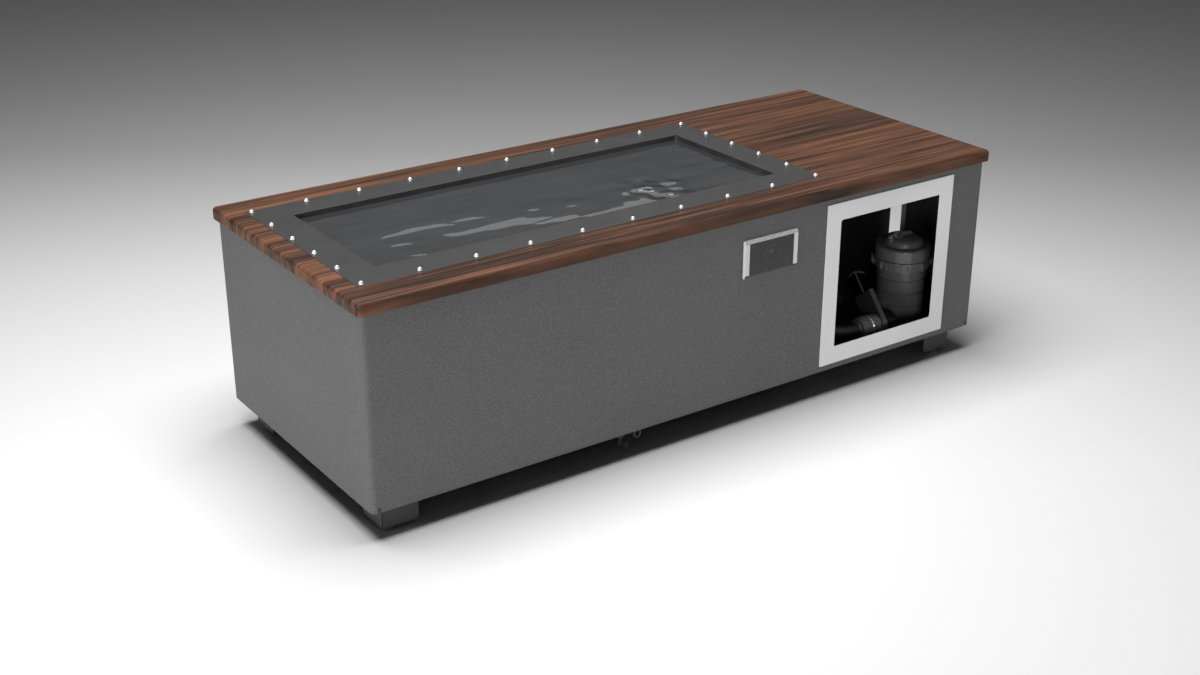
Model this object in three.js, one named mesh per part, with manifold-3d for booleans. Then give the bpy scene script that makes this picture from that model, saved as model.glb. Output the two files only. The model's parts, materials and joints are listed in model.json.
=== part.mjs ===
// A free-standing cold plunge tub: a folded steel skirt on short legs, a wood deck, a lined basin
// held down by a rim of dome nuts, and an equipment bay with filter, valve, pump and chiller.
// Millimetres, +Z up. The origin is on the floor under the middle of the deck, +X runs along the
// length towards the equipment bay, and -Y is the front with the control panel and service hatch.
import * as THREE from 'three';
import { mergeVertices } from 'three/addons/utils/BufferGeometryUtils.js';
import Module from 'manifold-3d';

const wasm = await Module();
wasm.setup();

// Fits
const FIT = 0.3; // gap between pieces that touch
const SLIDE_FIT = 0.6; // gap round a piece that slides or turns

// Sides of round pieces
const SIDES_LARGE = 20;
const SIDES = 12;
const SIDES_SMALL = 10;

// Wood deck
const DECK_LENGTH = 2340;
const DECK_WIDTH = 944;
const DECK_THICKNESS = 38;
const DECK_OVERHANG = 12;
const DECK_CORNER_RADIUS = 14;
const DECK_TOP_ROUND = 11;
const DECK_BOTTOM_ROUND = 3;
const DECK_CUT_CLEARANCE = 6;

// Folded sheet skirt
const GROUND_CLEARANCE = 95;
const SKIRT_HEIGHT = 590;
const SKIRT_SHEET = 2;
const SKIRT_BEND_RADIUS = 18;
const SKIRT_FLANGE = 30;
const SKIRT_SEAM_FROM_REAR = 60;
const RELIEF_WIDTH = 10;
const RELIEF_HEIGHT = 16;

// Service hatches: the same white frame on the front and on the equipment end
const HATCH_MARGIN = 20; // skirt's top and bottom edges to the frame
const HATCH_BAR = 58;
const HATCH_SHEET = 3;
const HATCH_INNER_RADIUS = 7;
const HATCH_OVERLAP = 33; // how far a frame laps the sheet round its opening
const HATCH_FROM_END = 419; // skirt end to the middle of the front hatch
const HATCH_FROM_REAR = 341; // rear face to the middle of the end hatch

// Control panel on the front
const PANEL_WIDTH = 210;
const PANEL_HEIGHT = 121;
const PANEL_PROUD = 11;
const PANEL_BOW = 4; // bulge of each silver side
const PANEL_SIDE = 17; // width of each silver side
const PANEL_GLASS = 6;
const PANEL_EDGE_CHAMFER = 5;
const PANEL_FROM_HATCH = 507; // middle of the front hatch to the middle of the panel
const PANEL_FROM_TOP = 127; // skirt top to panel centre
const PANEL_BOX_WIDTH = 170;
const PANEL_BOX_HEIGHT = 84;
const PANEL_BOX_DEPTH = 42;

// Legs and feet
const LEG_WIDTH = 115;
const LEG_SHEET = 6;
const LEG_GROUND_GAP = 13;
const LEG_CORNER_GAP = 5;
const LEG_CORNER_RADIUS = 11;
const LEG_INSET_X = 51;
const LEG_INSET_Y = 45;
const FOOT_RADIUS = 23;
const FOOT_HEIGHT = 12;
const FOOT_STEM_RADIUS = 7;
const FOOT_INSET_Y = 25;
const FOOT_INSET_LEFT = 25;
const FOOT_INSET_RIGHT = 59;

// Base frame of square tube
const TUBE = 40;
const TUBE_WALL = 3;
const TRAY_SHEET = 3;
const CROSS_LEFT_INSET = 108; // skirt end to the middle of the cross tube over the left legs
const CROSS_FROM_TUB = [-350, 210]; // middle cross tubes, from the tub's centre

// Basin
const BAY_LENGTH = 684.4; // equipment bay, from the bulkhead to the skirt's end
const TUB_END_GAP = 155; // skirt end to the inside of the basin
const TUB_WIDTH = 514;
const TUB_WALL = 4;
const TUB_CORNER_RADIUS = 10;
const INSULATION = 40;
const LINER_FLANGE = 3;
const RIM_BORDER = 106;
const RIM_THICKNESS = 3;
const RIM_PROUD = 1.5;
const STUD_MARGIN = 15;
const STUD_RADIUS = 6.5;
const STUD_HEIGHT = 8.5;
const STUDS_LONG = 10;
const STUDS_SHORT = 6;
const BULKHEAD = 12;

// Water fittings in the basin's equipment end and floor
const PIPE_RADIUS = 19.5;
const PIPE_BORE = 16;
const SUCTION_FROM_SIDE = 53; // from the basin's front wall
const SUCTION_ABOVE_FLOOR = 46;
const SUCTION_RADIUS = 40;
const SUCTION_SLOTS = 5;
const JET_FROM_SIDE = 112; // from the basin's front wall
const JET_BELOW_RIM = 125;
const JET_RADIUS = 36;
const JET_BALL_RADIUS = 17;
const JET_BALL_BORE = 7;
const RETURN_BEND = 55;
const FITTING_FLANGE = 8;
const FITTING_NECK = 23;

// Drain
const DRAIN_X_FROM_TUB = -90;
const DRAIN_FROM_SIDE = 77; // from the basin's front wall
const DRAIN_FLANGE_RADIUS = 32;
const DRAIN_FLANGE = 4;
const DRAIN_PIPE_RADIUS = 12;
const DRAIN_PIPE_BORE = 9;
const DRAIN_BEND = 26;
const DRAIN_HEIGHT = 78;
const DRAIN_VALVE_X_FROM_TUB = 3;
const DRAIN_VALVE_FROM_FRONT = 52;
const DRAIN_VALVE_RADIUS = 16;
const DRAIN_VALVE_LENGTH = 40;
const DRAIN_OUTLET_FROM_FRONT = 11;
const LEVER_HUB_RADIUS = 10;
const LEVER_DROP = 24;
const LEVER_REACH = 38;
const LEVER_BLADE = 4;

// Filter canister
const FILTER_FROM_END = 146; // skirt end to the canister's axis
const FILTER_FROM_FRONT = 200;
const FILTER_BODY_HEIGHT = 200;
const FILTER_BASE_RADIUS = 71;
const FILTER_WAIST_RADIUS = 70;
const FILTER_SHOULDER_RADIUS = 81;
const FILTER_FLANGE_RADIUS = 90;
const FILTER_FLANGE = 12;
const FILTER_WALL = 5;
const FILTER_ROUND = 30;
const FILTER_PORT_REACH = 95;
const FILTER_PORT_RADIUS = 26;
const FILTER_OUTLET_REACH = 90;
const FILTER_OUTLET_OFFSET = 48;
const FILTER_OUTLET_HEIGHT = 70;
const LID_FLANGE = 12;
const LID_WALL_RADIUS = 96;
const LID_WALL_HEIGHT = 44;
const LID_DOME_HEIGHT = 30;
const LID_THICKNESS = 5;
const LID_GRIP_LENGTH = 94;
const LID_GRIP_WIDTH = 15;
const LID_GRIP_HEIGHT = 40;
const RING_RADIUS = 99;
const RING_HEIGHT = 33;
const RING_LUGS = 8;
const RING_LUG = 4;
const SEAL_SECTION = 2.6;
const CARTRIDGE_RADIUS = 56;
const CARTRIDGE_CORE = 22;
const CARTRIDGE_PLEATS = 12;
const CARTRIDGE_PLEAT_DEPTH = 13;
const CARTRIDGE_CAP = 8;
const BLEED_OFFSET = 58;
const BLEED_RADIUS = 7;
const BLEED_HEIGHT = 13;
const BLEED_WING = 26;

// Gate valve with a T-handle, leaning back in the bay
const VALVE_FROM_FILTER = 189;
const VALVE_FROM_FRONT = 110;
const VALVE_LEAN = THREE.MathUtils.degToRad(40);
const VALVE_HALF_WIDTH = 42;
const VALVE_TOP = 112;
const VALVE_THICKNESS = 20;
const VALVE_WALL = 6;
const VALVE_BORE = 24;
const VALVE_HUB_RADIUS = 30;
const VALVE_HUB = 14;
const GATE_THICKNESS = 4;
const GATE_STROKE = 62;
const STEM_RADIUS = 4;
const HANDLE_HEIGHT = 189;
const HANDLE_LENGTH = 74;
const HANDLE_RADIUS = 5;
const HANDLE_DROOP = 8;
const UNION_RADIUS = 37;
const UNION_LENGTH = 40;
const UNION_TAIL = 22; // tapered hose collar past the nut

// Pump, lying along the bay behind the gate valve
const PUMP_FROM_FILTER = 146; // canister's axis to the pump's inlet face
const PUMP_BEHIND_FILTER = 125;
const PUMP_RADIUS = 60;
const PUMP_VOLUTE = 74;
const PUMP_NECK = 14;
const PUMP_MOTOR_RADIUS = 54;
const PUMP_MOTOR_LENGTH = 190;
const PUMP_MOTOR_FINS = 10;
const PUMP_HOOD = 40;
const PUMP_SADDLE_LENGTH = 100;
const PUMP_WEB_LENGTH = 80;
const PUMP_SADDLE_FROM_VOLUTE = 80;
const PUMP_BASE = 8;
const PUMP_ELBOW = 34;
const PUMP_DISCHARGE_HEIGHT = 205; // tray to the level of the chiller inlet pipe
const PIPE_HOLE_CLEARANCE = 1;

// Chiller
const CHILLER_END_GAP = 27;
const CHILLER_LENGTH = 571;
const CHILLER_BEHIND_PUMP = 63; // pump's axis to the chiller's front
const CHILLER_REAR_GAP = 90;
const CHILLER_HEIGHT = 404;
const CHILLER_SHEET = 2;
const CHILLER_BASE = 18;
const LOUVRES = 8;
const LOUVRE_LENGTH = 280;
const LOUVRE_PITCH = 32;
const LOUVRE_GAP = 10;
const LOUVRE_RISE = 60;
const FAN_RADIUS = 120;
const FAN_OFF_CENTRE = 30; // towards the front
const FAN_HEIGHT = 236;
const FAN_BLADES = 5;
const FAN_DEPTH = 34;
const FAN_HUB_RADIUS = 32;
const FAN_MOTOR_RADIUS = 42;
const FAN_MOTOR_LENGTH = 60;
const FAN_SHAFT_RADIUS = 5;
const COIL_THICKNESS = 40;
const COIL_MARGIN = 56;
const COIL_HEIGHT = 340;
const COIL_FIN_GROOVES = 8;
const COMPRESSOR_RADIUS = 78;
const COMPRESSOR_HEIGHT = 240;
const COMPRESSOR_ROUND = 50;
const COMPRESSOR_INSET_X = 120;
const COMPRESSOR_INSET_Y = 240;
const EXCHANGER_FROM_FRONT = 32;
const EXCHANGER_RADIUS = 58;
const EXCHANGER_HEIGHT = 340;

// Levels and planes worked out from the sizes above
const skirtLength = DECK_LENGTH - 2 * DECK_OVERHANG;
const skirtWidth = DECK_WIDTH - 2 * DECK_OVERHANG;
const skirtEnd = skirtLength / 2;
const skirtSide = skirtWidth / 2;
const skirtTop = GROUND_CLEARANCE + SKIRT_HEIGHT;
const skirtMiddle = GROUND_CLEARANCE + SKIRT_HEIGHT / 2;
const tubEndBuild = TUB_WALL + FIT + INSULATION + FIT + BULKHEAD;
const tubLength = skirtLength - TUB_END_GAP - tubEndBuild - BAY_LENGTH;
const tubCentreX = -skirtEnd + TUB_END_GAP + tubLength / 2;
const deckBottom = skirtTop + FIT;
const deckTop = deckBottom + DECK_THICKNESS;
const rimTop = deckTop + RIM_PROUD;
const rimBottom = rimTop - RIM_THICKNESS;
const linerTop = rimBottom - FIT;
const rebateFloor = linerTop - LINER_FLANGE - FIT;
const rimLength = tubLength + 2 * RIM_BORDER;
const rimWidth = TUB_WIDTH + 2 * RIM_BORDER;
const railBottom = GROUND_CLEARANCE + SKIRT_SHEET + FIT;
const railTop = railBottom + TUBE;
const railOuter = skirtSide - SKIRT_SHEET - FIT;
const railInner = railOuter - TUBE;
const trayTop = railBottom + TRAY_SHEET;
const legTop = railBottom - FIT;
const legPlateBottom = legTop - LEG_SHEET;
const jacketBottom = railTop + FIT;
const linerBottom = jacketBottom + INSULATION + FIT;
const basinFloor = linerBottom + TUB_WALL;
const tubEndInner = tubCentreX + tubLength / 2;
const tubEndOuter = tubEndInner + TUB_WALL;
const jacketEnd = tubEndOuter + FIT + INSULATION;
const bulkheadLeft = jacketEnd + FIT;
const bulkheadRight = bulkheadLeft + BULKHEAD;
const bulkheadMiddle = (bulkheadLeft + bulkheadRight) / 2;
const hatchSize = SKIRT_HEIGHT - 2 * HATCH_MARGIN;
const hatchOpening = hatchSize - 2 * HATCH_BAR;
const hatchCut = hatchSize - 2 * HATCH_OVERLAP;
const hatchFrontX = skirtEnd - HATCH_FROM_END;
const hatchEndY = skirtSide - HATCH_FROM_REAR;
const panelX = hatchFrontX - PANEL_FROM_HATCH;
const filterX = skirtEnd - FILTER_FROM_END;
const valveX = filterX - VALVE_FROM_FILTER;
const valveY = -skirtSide + VALVE_FROM_FRONT;
const valveZ = trayTop + FIT + Math.max(VALVE_HALF_WIDTH, UNION_RADIUS);
const filterY = -skirtSide + FILTER_FROM_FRONT;
const filterZ = trayTop + FIT;
const suctionY = -TUB_WIDTH / 2 + SUCTION_FROM_SIDE;
const jetY = -TUB_WIDTH / 2 + JET_FROM_SIDE;
const drainY = -TUB_WIDTH / 2 + DRAIN_FROM_SIDE;
const suctionZ = basinFloor + SUCTION_ABOVE_FLOOR;
const jetZ = rimTop - JET_BELOW_RIM;
const drainX = tubCentreX + DRAIN_X_FROM_TUB;
const drainValveX = tubCentreX + DRAIN_VALVE_X_FROM_TUB;
const drainValveY = -skirtSide + DRAIN_VALVE_FROM_FRONT;
const fittingTailX = bulkheadRight + FIT;
const pumpInletX = filterX - PUMP_FROM_FILTER;
const pumpY = filterY + PUMP_BEHIND_FILTER;
const pumpZ = filterZ + FILTER_OUTLET_HEIGHT;
const chillerBottom = trayTop + FIT;
const chillerTop = chillerBottom + CHILLER_HEIGHT;
const chillerRight = skirtEnd - CHILLER_END_GAP;
const chillerLeft = chillerRight - CHILLER_LENGTH;
const chillerFront = pumpY + CHILLER_BEHIND_PUMP;
const chillerBack = skirtSide - CHILLER_REAR_GAP;
const fanY = (chillerFront + chillerBack) / 2 - FAN_OFF_CENTRE;
const coilWidth = chillerBack - chillerFront - 2 * COIL_MARGIN;
const inletPipeZ = trayTop + PUMP_DISCHARGE_HEIGHT;
const dischargeX = pumpInletX - PUMP_VOLUTE / 2;
const exchangerY = chillerFront + EXCHANGER_FROM_FRONT + EXCHANGER_RADIUS;

// Geometry helpers

// Weld a geometry, drop its flat triangles and turn its faces outwards.
function solid(geometry) {
  const bare = geometry.clone();
  bare.deleteAttribute('normal');
  bare.deleteAttribute('uv');
  const welded = mergeVertices(bare, 1e-4);
  const place = welded.getAttribute('position');
  const kept = [];
  const [a, b, c] = [new THREE.Vector3(), new THREE.Vector3(), new THREE.Vector3()];
  let volume = 0;
  for (let i = 0; i < welded.index.count; i += 3) {
    const corner = [0, 1, 2].map((k) => welded.index.getX(i + k));
    if (new Set(corner).size < 3) continue;
    [a, b, c].forEach((v, k) => v.fromBufferAttribute(place, corner[k]));
    volume += a.dot(b.clone().cross(c));
    kept.push(corner);
  }
  const facing = volume < 0 ? kept.map(([p, q, r]) => [p, r, q]) : kept;
  welded.setIndex(facing.flat());
  return welded;
}

function toManifold(geometry) {
  const clean = solid(geometry);
  const vertProperties = Float32Array.from(clean.getAttribute('position').array);
  const triVerts = Uint32Array.from(clean.index.array);
  return new wasm.Manifold(new wasm.Mesh({ numProp: 3, vertProperties, triVerts }));
}

function fromManifold(body) {
  const { vertProperties, triVerts } = body.getMesh();
  const geometry = new THREE.BufferGeometry();
  geometry.setAttribute('position', new THREE.BufferAttribute(vertProperties, 3));
  geometry.setIndex(new THREE.BufferAttribute(triVerts, 1));
  return geometry;
}

function join(...pieces) {
  return fromManifold(pieces.map(toManifold).reduce((whole, piece) => whole.add(piece)));
}

function cut(piece, ...tools) {
  return fromManifold(tools.map(toManifold).reduce((whole, tool) => whole.subtract(tool),
  toManifold(piece)));
}

function keep(piece, region) {
  return fromManifold(toManifold(piece).intersect(toManifold(region)));
}

function block([x0, x1], [y0, y1], [z0, z1]) {
  const geometry = new THREE.BoxGeometry(x1 - x0, y1 - y0, z1 - z0);
  return geometry.translate((x0 + x1) / 2, (y0 + y1) / 2, (z0 + z1) / 2);
}

// A centred rectangle with round corners, drawn in a plane.
function roundedRectangle(width, height, radius, Kind = THREE.Shape) {
  const [w, h] = [width / 2, height / 2];
  const shape = new Kind();
  shape.moveTo(-w + radius, -h);
  shape.lineTo(w - radius, -h);
  shape.absarc(w - radius, -h + radius, radius, -Math.PI / 2, 0);
  shape.lineTo(w, h - radius);
  shape.absarc(w - radius, h - radius, radius, 0, Math.PI / 2);
  shape.lineTo(-w + radius, h);
  shape.absarc(-w + radius, h - radius, radius, Math.PI / 2, Math.PI);
  shape.lineTo(-w, -h + radius);
  shape.absarc(-w + radius, -h + radius, radius, Math.PI, 1.5 * Math.PI);
  return shape;
}

function prism(shape, depth, curveSegments = 3) {
  return new THREE.ExtrudeGeometry(shape, { depth, bevelEnabled: false, curveSegments });
}

// Stand a flat prism up: drawn x and y become X and Z, and its depth runs towards -Y.
function facingFront(geometry) {
  return geometry.rotateX(Math.PI / 2);
}

// Stand a flat prism up: drawn x and y become Y and Z, and its depth runs towards +X.
function facingEnd(geometry) {
  return geometry.rotateX(Math.PI / 2).rotateZ(Math.PI / 2);
}

// Revolve a profile of [radius, height] points about the Z axis.
function revolve(profile, segments = SIDES) {
  const points = profile.map(([radius, height]) => new THREE.Vector2(radius, height));
  return solid(new THREE.LatheGeometry(points, segments).rotateX(Math.PI / 2));
}

const alongX = (geometry) => geometry.rotateY(Math.PI / 2);
const alongY = (geometry) => geometry.rotateX(-Math.PI / 2);

// A closed ring profile between two radii.
function ringProfile(inner, outer, low, high) {
  return [[inner, low], [outer, low], [outer, high], [inner, high], [inner, low]];
}

function rod(radius, low, high, segments = SIDES) {
  return revolve([[0, low], [radius, low], [radius, high], [0, high]], segments);
}

// The corner radius of a round hole whose flats lie outside the radius that has to pass.
function clearing(radius, segments = SIDES) {
  return radius / Math.cos(Math.PI / segments);
}

function hole(radius, low, high, segments = SIDES) {
  return rod(clearing(radius, segments), low, high, segments);
}

// A route that a pipe follows: its stations are the points where the pipe's section is placed.
class Route extends THREE.Curve {
  constructor(stations) {
    super();
    this.stations = stations;
  }

  get steps() {
    return this.stations.length - 1;
  }

  getPoint(share, target = new THREE.Vector3()) {
    return target.copy(this.stations[Math.round(share * this.steps)].point);
  }

  getSpacedPoints() {
    return this.stations.map(({ point }) => point.clone());
  }

  getTangentAt(share, target = new THREE.Vector3()) {
    return target.copy(this.stations[Math.round(share * this.steps)].heading);
  }
}

function pipe(route, radius, bore, sides = SIDES_SMALL) {
  const shape = new THREE.Shape().absarc(0, 0, radius, 0, 2 * Math.PI);
  if (bore > 0) shape.holes.push(new THREE.Path().absarc(0, 0, bore, 0, 2 * Math.PI, true));
  const curveSegments = sides / 2;
  const options = { steps: route.steps, curveSegments, extrudePath: route, bevelEnabled: false };
  return solid(new THREE.ExtrudeGeometry(shape, options));
}

// A route that follows a smooth curve in equal steps.
function curvedRoute(curve, steps) {
  return new Route(Array.from({ length: steps + 1 }, (_, i) => (
    { point: curve.getPointAt(i / steps), heading: curve.getTangentAt(i / steps) })));
}

// A route of straight runs with a round bend of one radius at each corner.
function bentRoute(corners, bend, bendSteps = 4) {
  const points = corners.map(([x, y, z]) => new THREE.Vector3(x, y, z));
  const heading = (from, to) => to.clone().sub(from).normalize();
  const stations = [{ point: points[0], heading: heading(points[0], points[1]) }];
  for (let i = 1; i < points.length - 1; i += 1) {
    const into = heading(points[i - 1], points[i]);
    const out = heading(points[i], points[i + 1]);
    const start = points[i].clone().addScaledVector(into, -bend);
    for (let k = 0; k <= bendSteps; k += 1) {
      const angle = (Math.PI / 2) * (k / bendSteps);
      const [along, across] = [bend * Math.sin(angle), bend * (1 - Math.cos(angle))];
      stations.push({
        point: start.clone().addScaledVector(into, along).addScaledVector(out, across),
        heading: into.clone().multiplyScalar(Math.cos(angle)).addScaledVector(out, Math.sin(angle)),
      });
    }
  }
  const [beforeLast, last] = points.slice(-2);
  stations.push({ point: last, heading: heading(beforeLast, last) });
  return new Route(stations);
}

// Points of an arc in a profile, from one angle to another.
function arcPoints(centreR, centreZ, radius, fromDegrees, toDegrees, steps) {
  return Array.from({ length: steps + 1 }, (_, i) => {
    const angle = THREE.MathUtils.degToRad(fromDegrees + ((toDegrees - fromDegrees) * i) / steps);
    return [centreR + radius * Math.cos(angle), centreZ + radius * Math.sin(angle)];
  });
}

// A slab lofted from round-cornered outlines, with its long edges rounded over.
function roundedSlab(length, width, thickness, corner, topRound, bottomRound) {
  const roundSteps = 3;
  const layers = [[bottomRound, 0], [0, bottomRound]];
  for (let i = 0; i <= roundSteps; i += 1) {
    const angle = (Math.PI / 2) * (i / roundSteps);
    layers.push([topRound * (1 - Math.cos(angle)), thickness - topRound * (1 - Math.sin(angle))]);
  }
  const rings = layers.map(([inset, height]) => {
    const radius = Math.max(corner - inset, 1);
    const outline = roundedRectangle(length - 2 * inset, width - 2 * inset, radius);
    return outline.getPoints(3).slice(0, -1).map((p) => new THREE.Vector3(p.x, p.y, height));
  });
  return loft(rings);
}

// Skin a stack of rings that have equal numbers of points, and close both ends with a fan.
function loft(rings) {
  const count = rings[0].length;
  const middles = [rings[0], rings.at(-1)].map((ring) =>
    ring.reduce((sum, p) => sum.add(p), new THREE.Vector3()).divideScalar(count));
  const points = [...rings.flat(), ...middles];
  const faces = [];
  for (let i = 0; i < count; i += 1) {
    const next = (i + 1) % count;
    const topStart = (rings.length - 1) * count;
    faces.push([points.length - 2, next, i], [points.length - 1, topStart + i, topStart + next]);
    for (let k = 0; k < rings.length - 1; k += 1) {
      const [low, high] = [k * count, (k + 1) * count];
      faces.push([low + i, low + next, high + next], [low + i, high + next, high + i]);
    }
  }
  const geometry = new THREE.BufferGeometry().setFromPoints(points);
  geometry.setIndex(faces.flat());
  return solid(geometry);
}

// Materials
function finish(color, roughness, metalness) {
  return new THREE.MeshStandardMaterial({ color, roughness, metalness });
}

const WALNUT = finish(0x7a5846, 0.55, 0);
const POWDER_COAT = finish(0x5c5c5c, 0.75, 0.1);
const GLOSS_RIM = finish(0x3c3d40, 0.2, 0.1);
const BASIN_BLACK = finish(0x232323, 0.35, 0);
const WHITE_FRAME = finish(0xcfcfcf, 0.6, 0);
const SILVER = finish(0xc4c6c8, 0.3, 0.9);
const DARK_GLASS = finish(0x33343a, 0.1, 0);
const LEG_PAINT = finish(0x444444, 0.7, 0.2);
const RUBBER = finish(0x1b1b1b, 0.9, 0);
const FRAME_STEEL = finish(0x2c2e30, 0.6, 0.5);
const FOAM = finish(0xd8cf9e, 0.95, 0);
const PLY = finish(0x2a2a2a, 0.8, 0);
const FILTER_PLASTIC = finish(0x2d2e30, 0.35, 0);
const FILTER_MEDIA = finish(0xe6e6e2, 0.9, 0);
const PVC = finish(0x303234, 0.5, 0);
const STAINLESS = finish(0xb4b6b8, 0.3, 1);
const CHILLER_PAINT = finish(0x161718, 0.6, 0.2);
const COIL_METAL = finish(0x9a9c9e, 0.45, 0.8);
const MOTOR_PAINT = finish(0x202224, 0.5, 0.3);

function node(name, geometry, material) {
  const mesh = new THREE.Mesh(solid(geometry), material);
  mesh.name = name;
  return mesh;
}

// Wood deck: rounded over at the top, with the basin's opening and a rebate for its flanges.
function makeDeck() {
  const slab = roundedSlab(
    DECK_LENGTH, DECK_WIDTH, DECK_THICKNESS, DECK_CORNER_RADIUS, DECK_TOP_ROUND, DECK_BOTTOM_ROUND,
  ).translate(0, 0, deckBottom);
  const cutLength = tubLength + 2 * (TUB_WALL + DECK_CUT_CLEARANCE);
  const cutWidth = TUB_WIDTH + 2 * (TUB_WALL + DECK_CUT_CLEARANCE);
  const opening = prism(roundedRectangle(cutLength, cutWidth, TUB_CORNER_RADIUS), 2 * DECK_THICKNESS)
    .translate(tubCentreX, 0, deckBottom - DECK_THICKNESS / 2);
  const rebate = prism(roundedRectangle(rimLength + 2 * FIT, rimWidth + 2 * FIT, FIT), DECK_THICKNESS)
    .translate(tubCentreX, 0, rebateFloor);
  return node('wood_deck', cut(slab, opening, rebate), WALNUT);
}

// Places of the dome nuts, evenly spaced round the rim with one at each corner.
function studPlaces() {
  const [halfLength, halfWidth] = [rimLength / 2 - STUD_MARGIN, rimWidth / 2 - STUD_MARGIN];
  const along = (half, count, i) => -half + (2 * half * i) / (count - 1);
  const places = [];
  for (let i = 0; i < STUDS_LONG; i += 1) {
    const x = along(halfLength, STUDS_LONG, i);
    places.push([x, -halfWidth], [x, halfWidth]);
  }
  for (let i = 1; i < STUDS_SHORT - 1; i += 1) {
    const y = along(halfWidth, STUDS_SHORT, i);
    places.push([-halfLength, y], [halfLength, y]);
  }
  return places;
}

// Rim: a flat clamping plate with its dome nuts.
function makeRim() {
  const outline = roundedRectangle(rimLength, rimWidth, 1);
  outline.holes.push(roundedRectangle(tubLength, TUB_WIDTH, 1, THREE.Path));
  const plate = prism(outline, RIM_THICKNESS, 1).translate(tubCentreX, 0, rimBottom);
  const root = -RIM_THICKNESS / 2;
  const dome = revolve([
    [0, root], [STUD_RADIUS, root], [STUD_RADIUS, STUD_HEIGHT / 2], [0, STUD_HEIGHT],
  ], 6);
  const studs = studPlaces().map(([x, y]) => dome.clone().translate(tubCentreX + x, y, rimTop));
  return node('rim_plate', join(plate, ...studs), GLOSS_RIM);
}

const wallHole = (radius, y, z) =>
  alongX(hole(radius, tubEndInner - INSULATION / 2, bulkheadRight + INSULATION / 2)).translate(0, y, z);
const floorHole = (radius) => hole(radius, jacketBottom - INSULATION / 2, basinFloor + INSULATION / 2)
  .translate(drainX, drainY, 0);

// Basin liner: a one-piece tub whose flange lies in the deck's rebate under the rim.
function makeLiner() {
  const outer = roundedRectangle(
    tubLength + 2 * TUB_WALL, TUB_WIDTH + 2 * TUB_WALL, TUB_CORNER_RADIUS + TUB_WALL);
  const shell = prism(outer, linerTop - linerBottom).translate(tubCentreX, 0, linerBottom);
  const flange = prism(roundedRectangle(rimLength, rimWidth, 1), LINER_FLANGE, 1)
    .translate(tubCentreX, 0, linerTop - LINER_FLANGE);
  const hollow = prism(roundedRectangle(tubLength, TUB_WIDTH, TUB_CORNER_RADIUS), linerTop)
    .translate(tubCentreX, 0, basinFloor);
  return node('tub_liner', cut(
    join(shell, flange), hollow,
    wallHole(FITTING_NECK + FIT, suctionY, suctionZ), wallHole(FITTING_NECK + FIT, jetY, jetZ),
    floorHole(FITTING_NECK + FIT),
  ), BASIN_BLACK);
}

// Foam jacket sprayed round the liner, resting on the cross tubes.
function makeJacket() {
  const reach = TUB_WALL + FIT + INSULATION;
  const outer = roundedRectangle(tubLength + 2 * reach, TUB_WIDTH + 2 * reach, TUB_CORNER_RADIUS + reach);
  const inner = TUB_WALL + FIT;
  const hollow = roundedRectangle(
    tubLength + 2 * inner, TUB_WIDTH + 2 * inner, TUB_CORNER_RADIUS + inner);
  const whole = prism(outer, deckBottom - FIT - jacketBottom).translate(tubCentreX, 0, jacketBottom);
  const space = prism(hollow, deckTop).translate(tubCentreX, 0, jacketBottom + INSULATION);
  return node('insulation_jacket', cut(
    whole, space,
    wallHole(FITTING_NECK + FIT, suctionY, suctionZ), wallHole(FITTING_NECK + FIT, jetY, jetZ),
    floorHole(FITTING_NECK + FIT),
  ), FOAM);
}

// Skirt: a folded sheet ring with returns at top and bottom, in a front wrap and a rear wrap.
function makeSkirt() {
  const ring = (inset, bend, depth) => {
    const outline = roundedRectangle(skirtLength, skirtWidth, SKIRT_BEND_RADIUS);
    const [l, w] = [skirtLength - 2 * inset, skirtWidth - 2 * inset];
    outline.holes.push(roundedRectangle(l, w, bend, THREE.Path));
    return prism(outline, depth);
  };
  const wall = ring(SKIRT_SHEET, SKIRT_BEND_RADIUS - SKIRT_SHEET, SKIRT_HEIGHT)
    .translate(0, 0, GROUND_CLEARANCE);
  const lowReturn = ring(SKIRT_FLANGE, SKIRT_SHEET, SKIRT_SHEET).translate(0, 0, GROUND_CLEARANCE);
  const topReturn = ring(SKIRT_FLANGE, SKIRT_SHEET, SKIRT_SHEET).translate(0, 0, skirtTop - SKIRT_SHEET);
  const depth = SKIRT_FLANGE + SKIRT_SHEET;
  const reliefs = [[-1, -1], [1, -1], [-1, 1], [1, 1]].map(([sx, sy]) => {
    const x = [skirtEnd - SKIRT_BEND_RADIUS - RELIEF_WIDTH, skirtEnd - SKIRT_BEND_RADIUS];
    const y = [skirtSide - depth, skirtSide + SKIRT_SHEET];
    const [xs, ys] = [x.map((v) => sx * v).sort((a, b) => a - b),
    y.map((v) => sy * v).sort((a, b) => a - b)];
    return block(xs, ys, [GROUND_CLEARANCE - SKIRT_SHEET, GROUND_CLEARANCE + RELIEF_HEIGHT]);
  });
  const hatchHole = () => prism(roundedRectangle(hatchCut, hatchCut, HATCH_INNER_RADIUS), 2 * depth);
  const frontHole = facingFront(hatchHole()).translate(hatchFrontX, -skirtSide + depth, skirtMiddle);
  const endHole = facingEnd(hatchHole()).translate(skirtEnd - depth, hatchEndY, skirtMiddle);
  const panelHole = facingFront(prism(roundedRectangle(
    PANEL_BOX_WIDTH + 2 * FIT, PANEL_BOX_HEIGHT + 2 * FIT, HATCH_INNER_RADIUS), 2 * depth))
    .translate(panelX, -skirtSide + depth, skirtTop - PANEL_FROM_TOP);
  const whole = cut(join(wall, lowReturn, topReturn), ...reliefs, frontHole, endHole, panelHole);
  const seam = skirtSide - SKIRT_SEAM_FROM_REAR;
  const side = (low, high) => block([-skirtLength, skirtLength], [low, high], [0, 2 * skirtTop]);
  return [
    node('skirt_front', keep(whole, side(-skirtWidth, seam - FIT / 2)), POWDER_COAT),
    node('skirt_rear', keep(whole, side(seam + FIT / 2, skirtWidth)), POWDER_COAT),
  ];
}

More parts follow.
